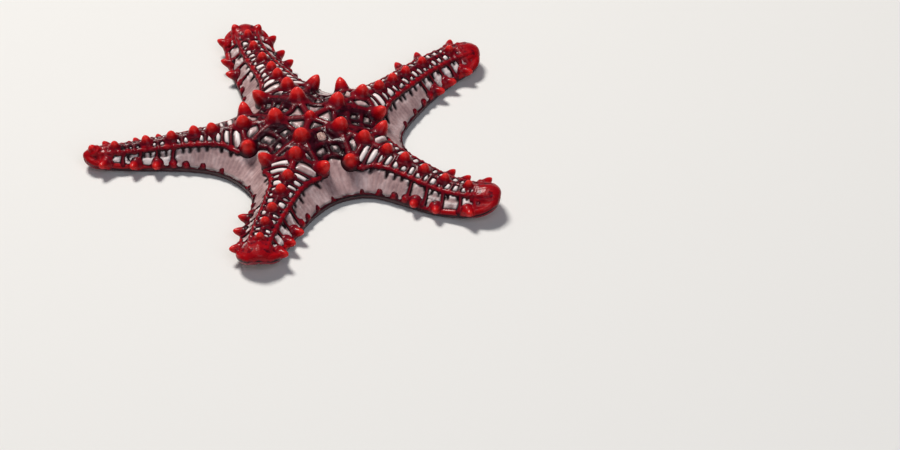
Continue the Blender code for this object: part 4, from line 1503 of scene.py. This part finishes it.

# %% [markdown]
# ### Red cords and knobs
#
# The same wet skin, dyed.  The tone mark runs through a colour ramp, from dark wine red in the low
# cords, with painted shade, to scarlet with a painted highlight at the top of a knob, and a faint
# cloud of noise keeps it from looking painted.
# Almost all its shine is that of the water film: under water, flesh itself reflects very little, and
# that is why wet colours look deep.  Small grains break the highlights.

# %% Net: tone, colour and gloss
CLOUD = 3.5            # mm across a cloud of lighter or darker red
red_finish, tree, shader, where = new_finish("wet_red_starfish_skin")
tone = add_node(tree, "Attribute", {}, "Fac", attribute_name="tone")
cloud = add_node(tree, "TexNoise", {"Vector": where, "Scale": 1 / CLOUD, "Detail": 3.0})
darker = add_node(tree, "Math", {0: tone, 1: 0.11}, operation="SUBTRACT")
tone = add_node(tree, "Math", {0: cloud, 1: 0.22, 2: darker}, operation="MULTIPLY_ADD")
red = add_node(tree, "ValToRGB", {"Fac": tone},
               stops=((0.0, "#0a0003"), (0.14, "#330212"), (0.35, "#7e0418"), (0.6, "#a6040f"),
                      (0.85, "#b80a14"), (1.0, "#da2a26")))
grains = add_node(tree, "TexVoronoi", {"Vector": where, "Scale": 1 / GRAIN, "Smoothness": 0.3},
                  feature="SMOOTH_F1")
height = add_node(tree, "Math", {0: grains, 1: -1.0}, operation="MULTIPLY")
relief = add_node(tree, "Bump", {"Strength": 0.5, "Distance": 0.2 * MM, "Height": height})
fill_inputs(tree, shader, {"Base Color": red, "Normal": relief, "Roughness": 0.38, "IOR": FLESH_IOR,
                           "Specular IOR Level": 0.15, "Coat Weight": 0.28, "Coat IOR": WATER_IOR,
                           "Coat Roughness": 0.10})
print("nodes of the net:", len(tree.nodes))

# %% [markdown]
# ### The small pieces
#
# Plate and furrow spines are bare calcite, dry-looking and chalky.  Lips and tube feet are soft, with
# a film of water.  All four are softly mottled in two close colours, so one helper makes them.

# %% Finishes of the small pieces


def mottled_finish(name, patch, dark, light, roughness, ior, film):
    """Two close colours in soft patches of so many millimetres, a fine relief and a water film."""
    finish, tree, shader, where = new_finish(name)
    patches = add_node(tree, "TexNoise", {"Vector": where, "Scale": 1 / patch, "Detail": 3.0})
    tint = add_node(tree, "ValToRGB", {"Fac": patches}, stops=((0.35, dark), (0.65, light)))
    relief = add_node(tree, "Bump", {"Strength": 0.4, "Distance": 0.1 * MM, "Height": patches})
    fill_inputs(tree, shader, {"Base Color": tint, "Normal": relief, "Roughness": roughness, "IOR": ior,
                               "Coat Weight": film, "Coat IOR": WATER_IOR, "Coat Roughness": 0.1})
    return finish


plate_finish = mottled_finish("chalky_calcite_plate", 1.5, "#b98d84", "#d8bcb0", 0.60, LIME_IOR, 0.0)
spine_finish = mottled_finish("chalky_calcite_spine", 1.5, "#cdb59c", "#eadfcd", 0.55, LIME_IOR, 0.0)
lips_finish = mottled_finish("soft_wet_lips", 2.0, "#c08a7c", "#dcb3a2", 0.35, FLESH_IOR, 0.8)
feet_finish = mottled_finish("wet_amber_tube_foot", 2.5, "#c9a467", "#e2cfa2", 0.25, FLESH_IOR, 1.0)
small_finishes = (plate_finish, spine_finish, lips_finish, feet_finish)
print("finishes:", ", ".join(finish.name for finish in small_finishes))

# %% [markdown]
# ## Tie the pieces to the solid model
#
# The animal has no joints, so there is one body, called root, and every piece rides on it.  The skin
# stands for all the solids of flesh.  The plate and the lips stand for their own.

# %% Ride, replace and paint


def finish_piece(piece, finish, slot, *stands_for):
    piece.data.materials.clear()
    piece.data.materials.append(finish)
    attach(piece, "root")
    if stands_for:
        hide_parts(*stands_for)


flesh = ["disc"] + ["arm_" + arm.name for arm in ARMS] + ["tip_" + arm.name for arm in ARMS]
finish_piece(skin, skin_finish, "netted_skin", *flesh)
for net in nets:
    finish_piece(net, red_finish, "tip_red")
finish_piece(plate, plate_finish, "madreporite", "madreporite")
finish_piece(lips, lips_finish, "mouth", "mouth")
finish_piece(tube_feet, feet_finish, "mouth")
finish_piece(furrow_spines, spine_finish, "netted_skin")
print("the skin stands for:", ", ".join(flesh))

# %% [markdown]
# ## Floor, light and camera
#
# A pale matt board and large soft lights, as in a studio for museum pieces.  The brightest stands at
# the back left and high up, so that the knobs shine on their upper left sides.  A weak cool one
# opens the shadows of the near flanks.

# %% Floor
FLOOR_SIZE, FLOOR_GAP = 6, 0.1 * MM        # the gap keeps floor and underside apart
deselect()
bpy.ops.mesh.primitive_plane_add(size=FLOOR_SIZE, location=(0, 0, -FLOOR_GAP))
floor = bpy.context.object
floor.name = "floor"
board = bpy.data.materials.new("pale_matt_board")
board.use_nodes = True
fill_inputs(board.node_tree, board.node_tree.nodes["Principled BSDF"],
            {"Base Color": colour("#e4e4e2"), "Roughness": 0.85})
floor.data.materials.append(board)
print("floor:", tuple(floor.dimensions))

# %% Lights
WORLD_STRENGTH = 0.10


def soft_light(name, spot, size, watts, tint):
    bpy.ops.object.light_add(type="AREA", location=spot)
    lamp = bpy.context.object
    lamp.name = name
    lamp.data.size = size
    lamp.data.energy = watts
    lamp.data.color = colour(tint)[:3]
    lamp.rotation_euler = (-Vector(spot)).to_track_quat("-Z", "Y").to_euler()


soft_light("key", (-0.8, 1.15, 2.7), 0.8, 95, "#fffaf4")
soft_light("fill", (0.8, -1.8, 1.8), 2.0, 20, "#eef3ff")
world = bpy.data.worlds.new("studio")
bpy.context.scene.world = world
world.use_nodes = True
fill_inputs(world.node_tree, world.node_tree.nodes["Background"],
            {"Color": colour("#e8ecf2"), "Strength": WORLD_STRENGTH})

# %% [markdown]
# The camera looks down from the front with a long lens from nearly two metres, so that near and far
# arms keep their true proportions.

# %% Camera
ELEVATION = math.radians(38)
DISTANCE = 1.88
LENS, SENSOR = 140, 36                     # mm
AIM = Vector((0.0868, -0.063, 0.0))        # right of the animal and in front of it
bpy.ops.object.camera_add(location=AIM + Vector((0, -math.cos(ELEVATION), math.sin(ELEVATION))) * DISTANCE)
camera = bpy.context.object
camera.rotation_euler = (math.pi / 2 - ELEVATION, 0, 0)
camera.data.lens = LENS
camera.data.sensor_width = SENSOR
bpy.context.scene.camera = camera
# The standard view keeps the reds as deep as they are set; the default one would dull them.
bpy.context.scene.view_settings.view_transform = "Standard"
print("camera at, m:", np.round(camera.location, 3))
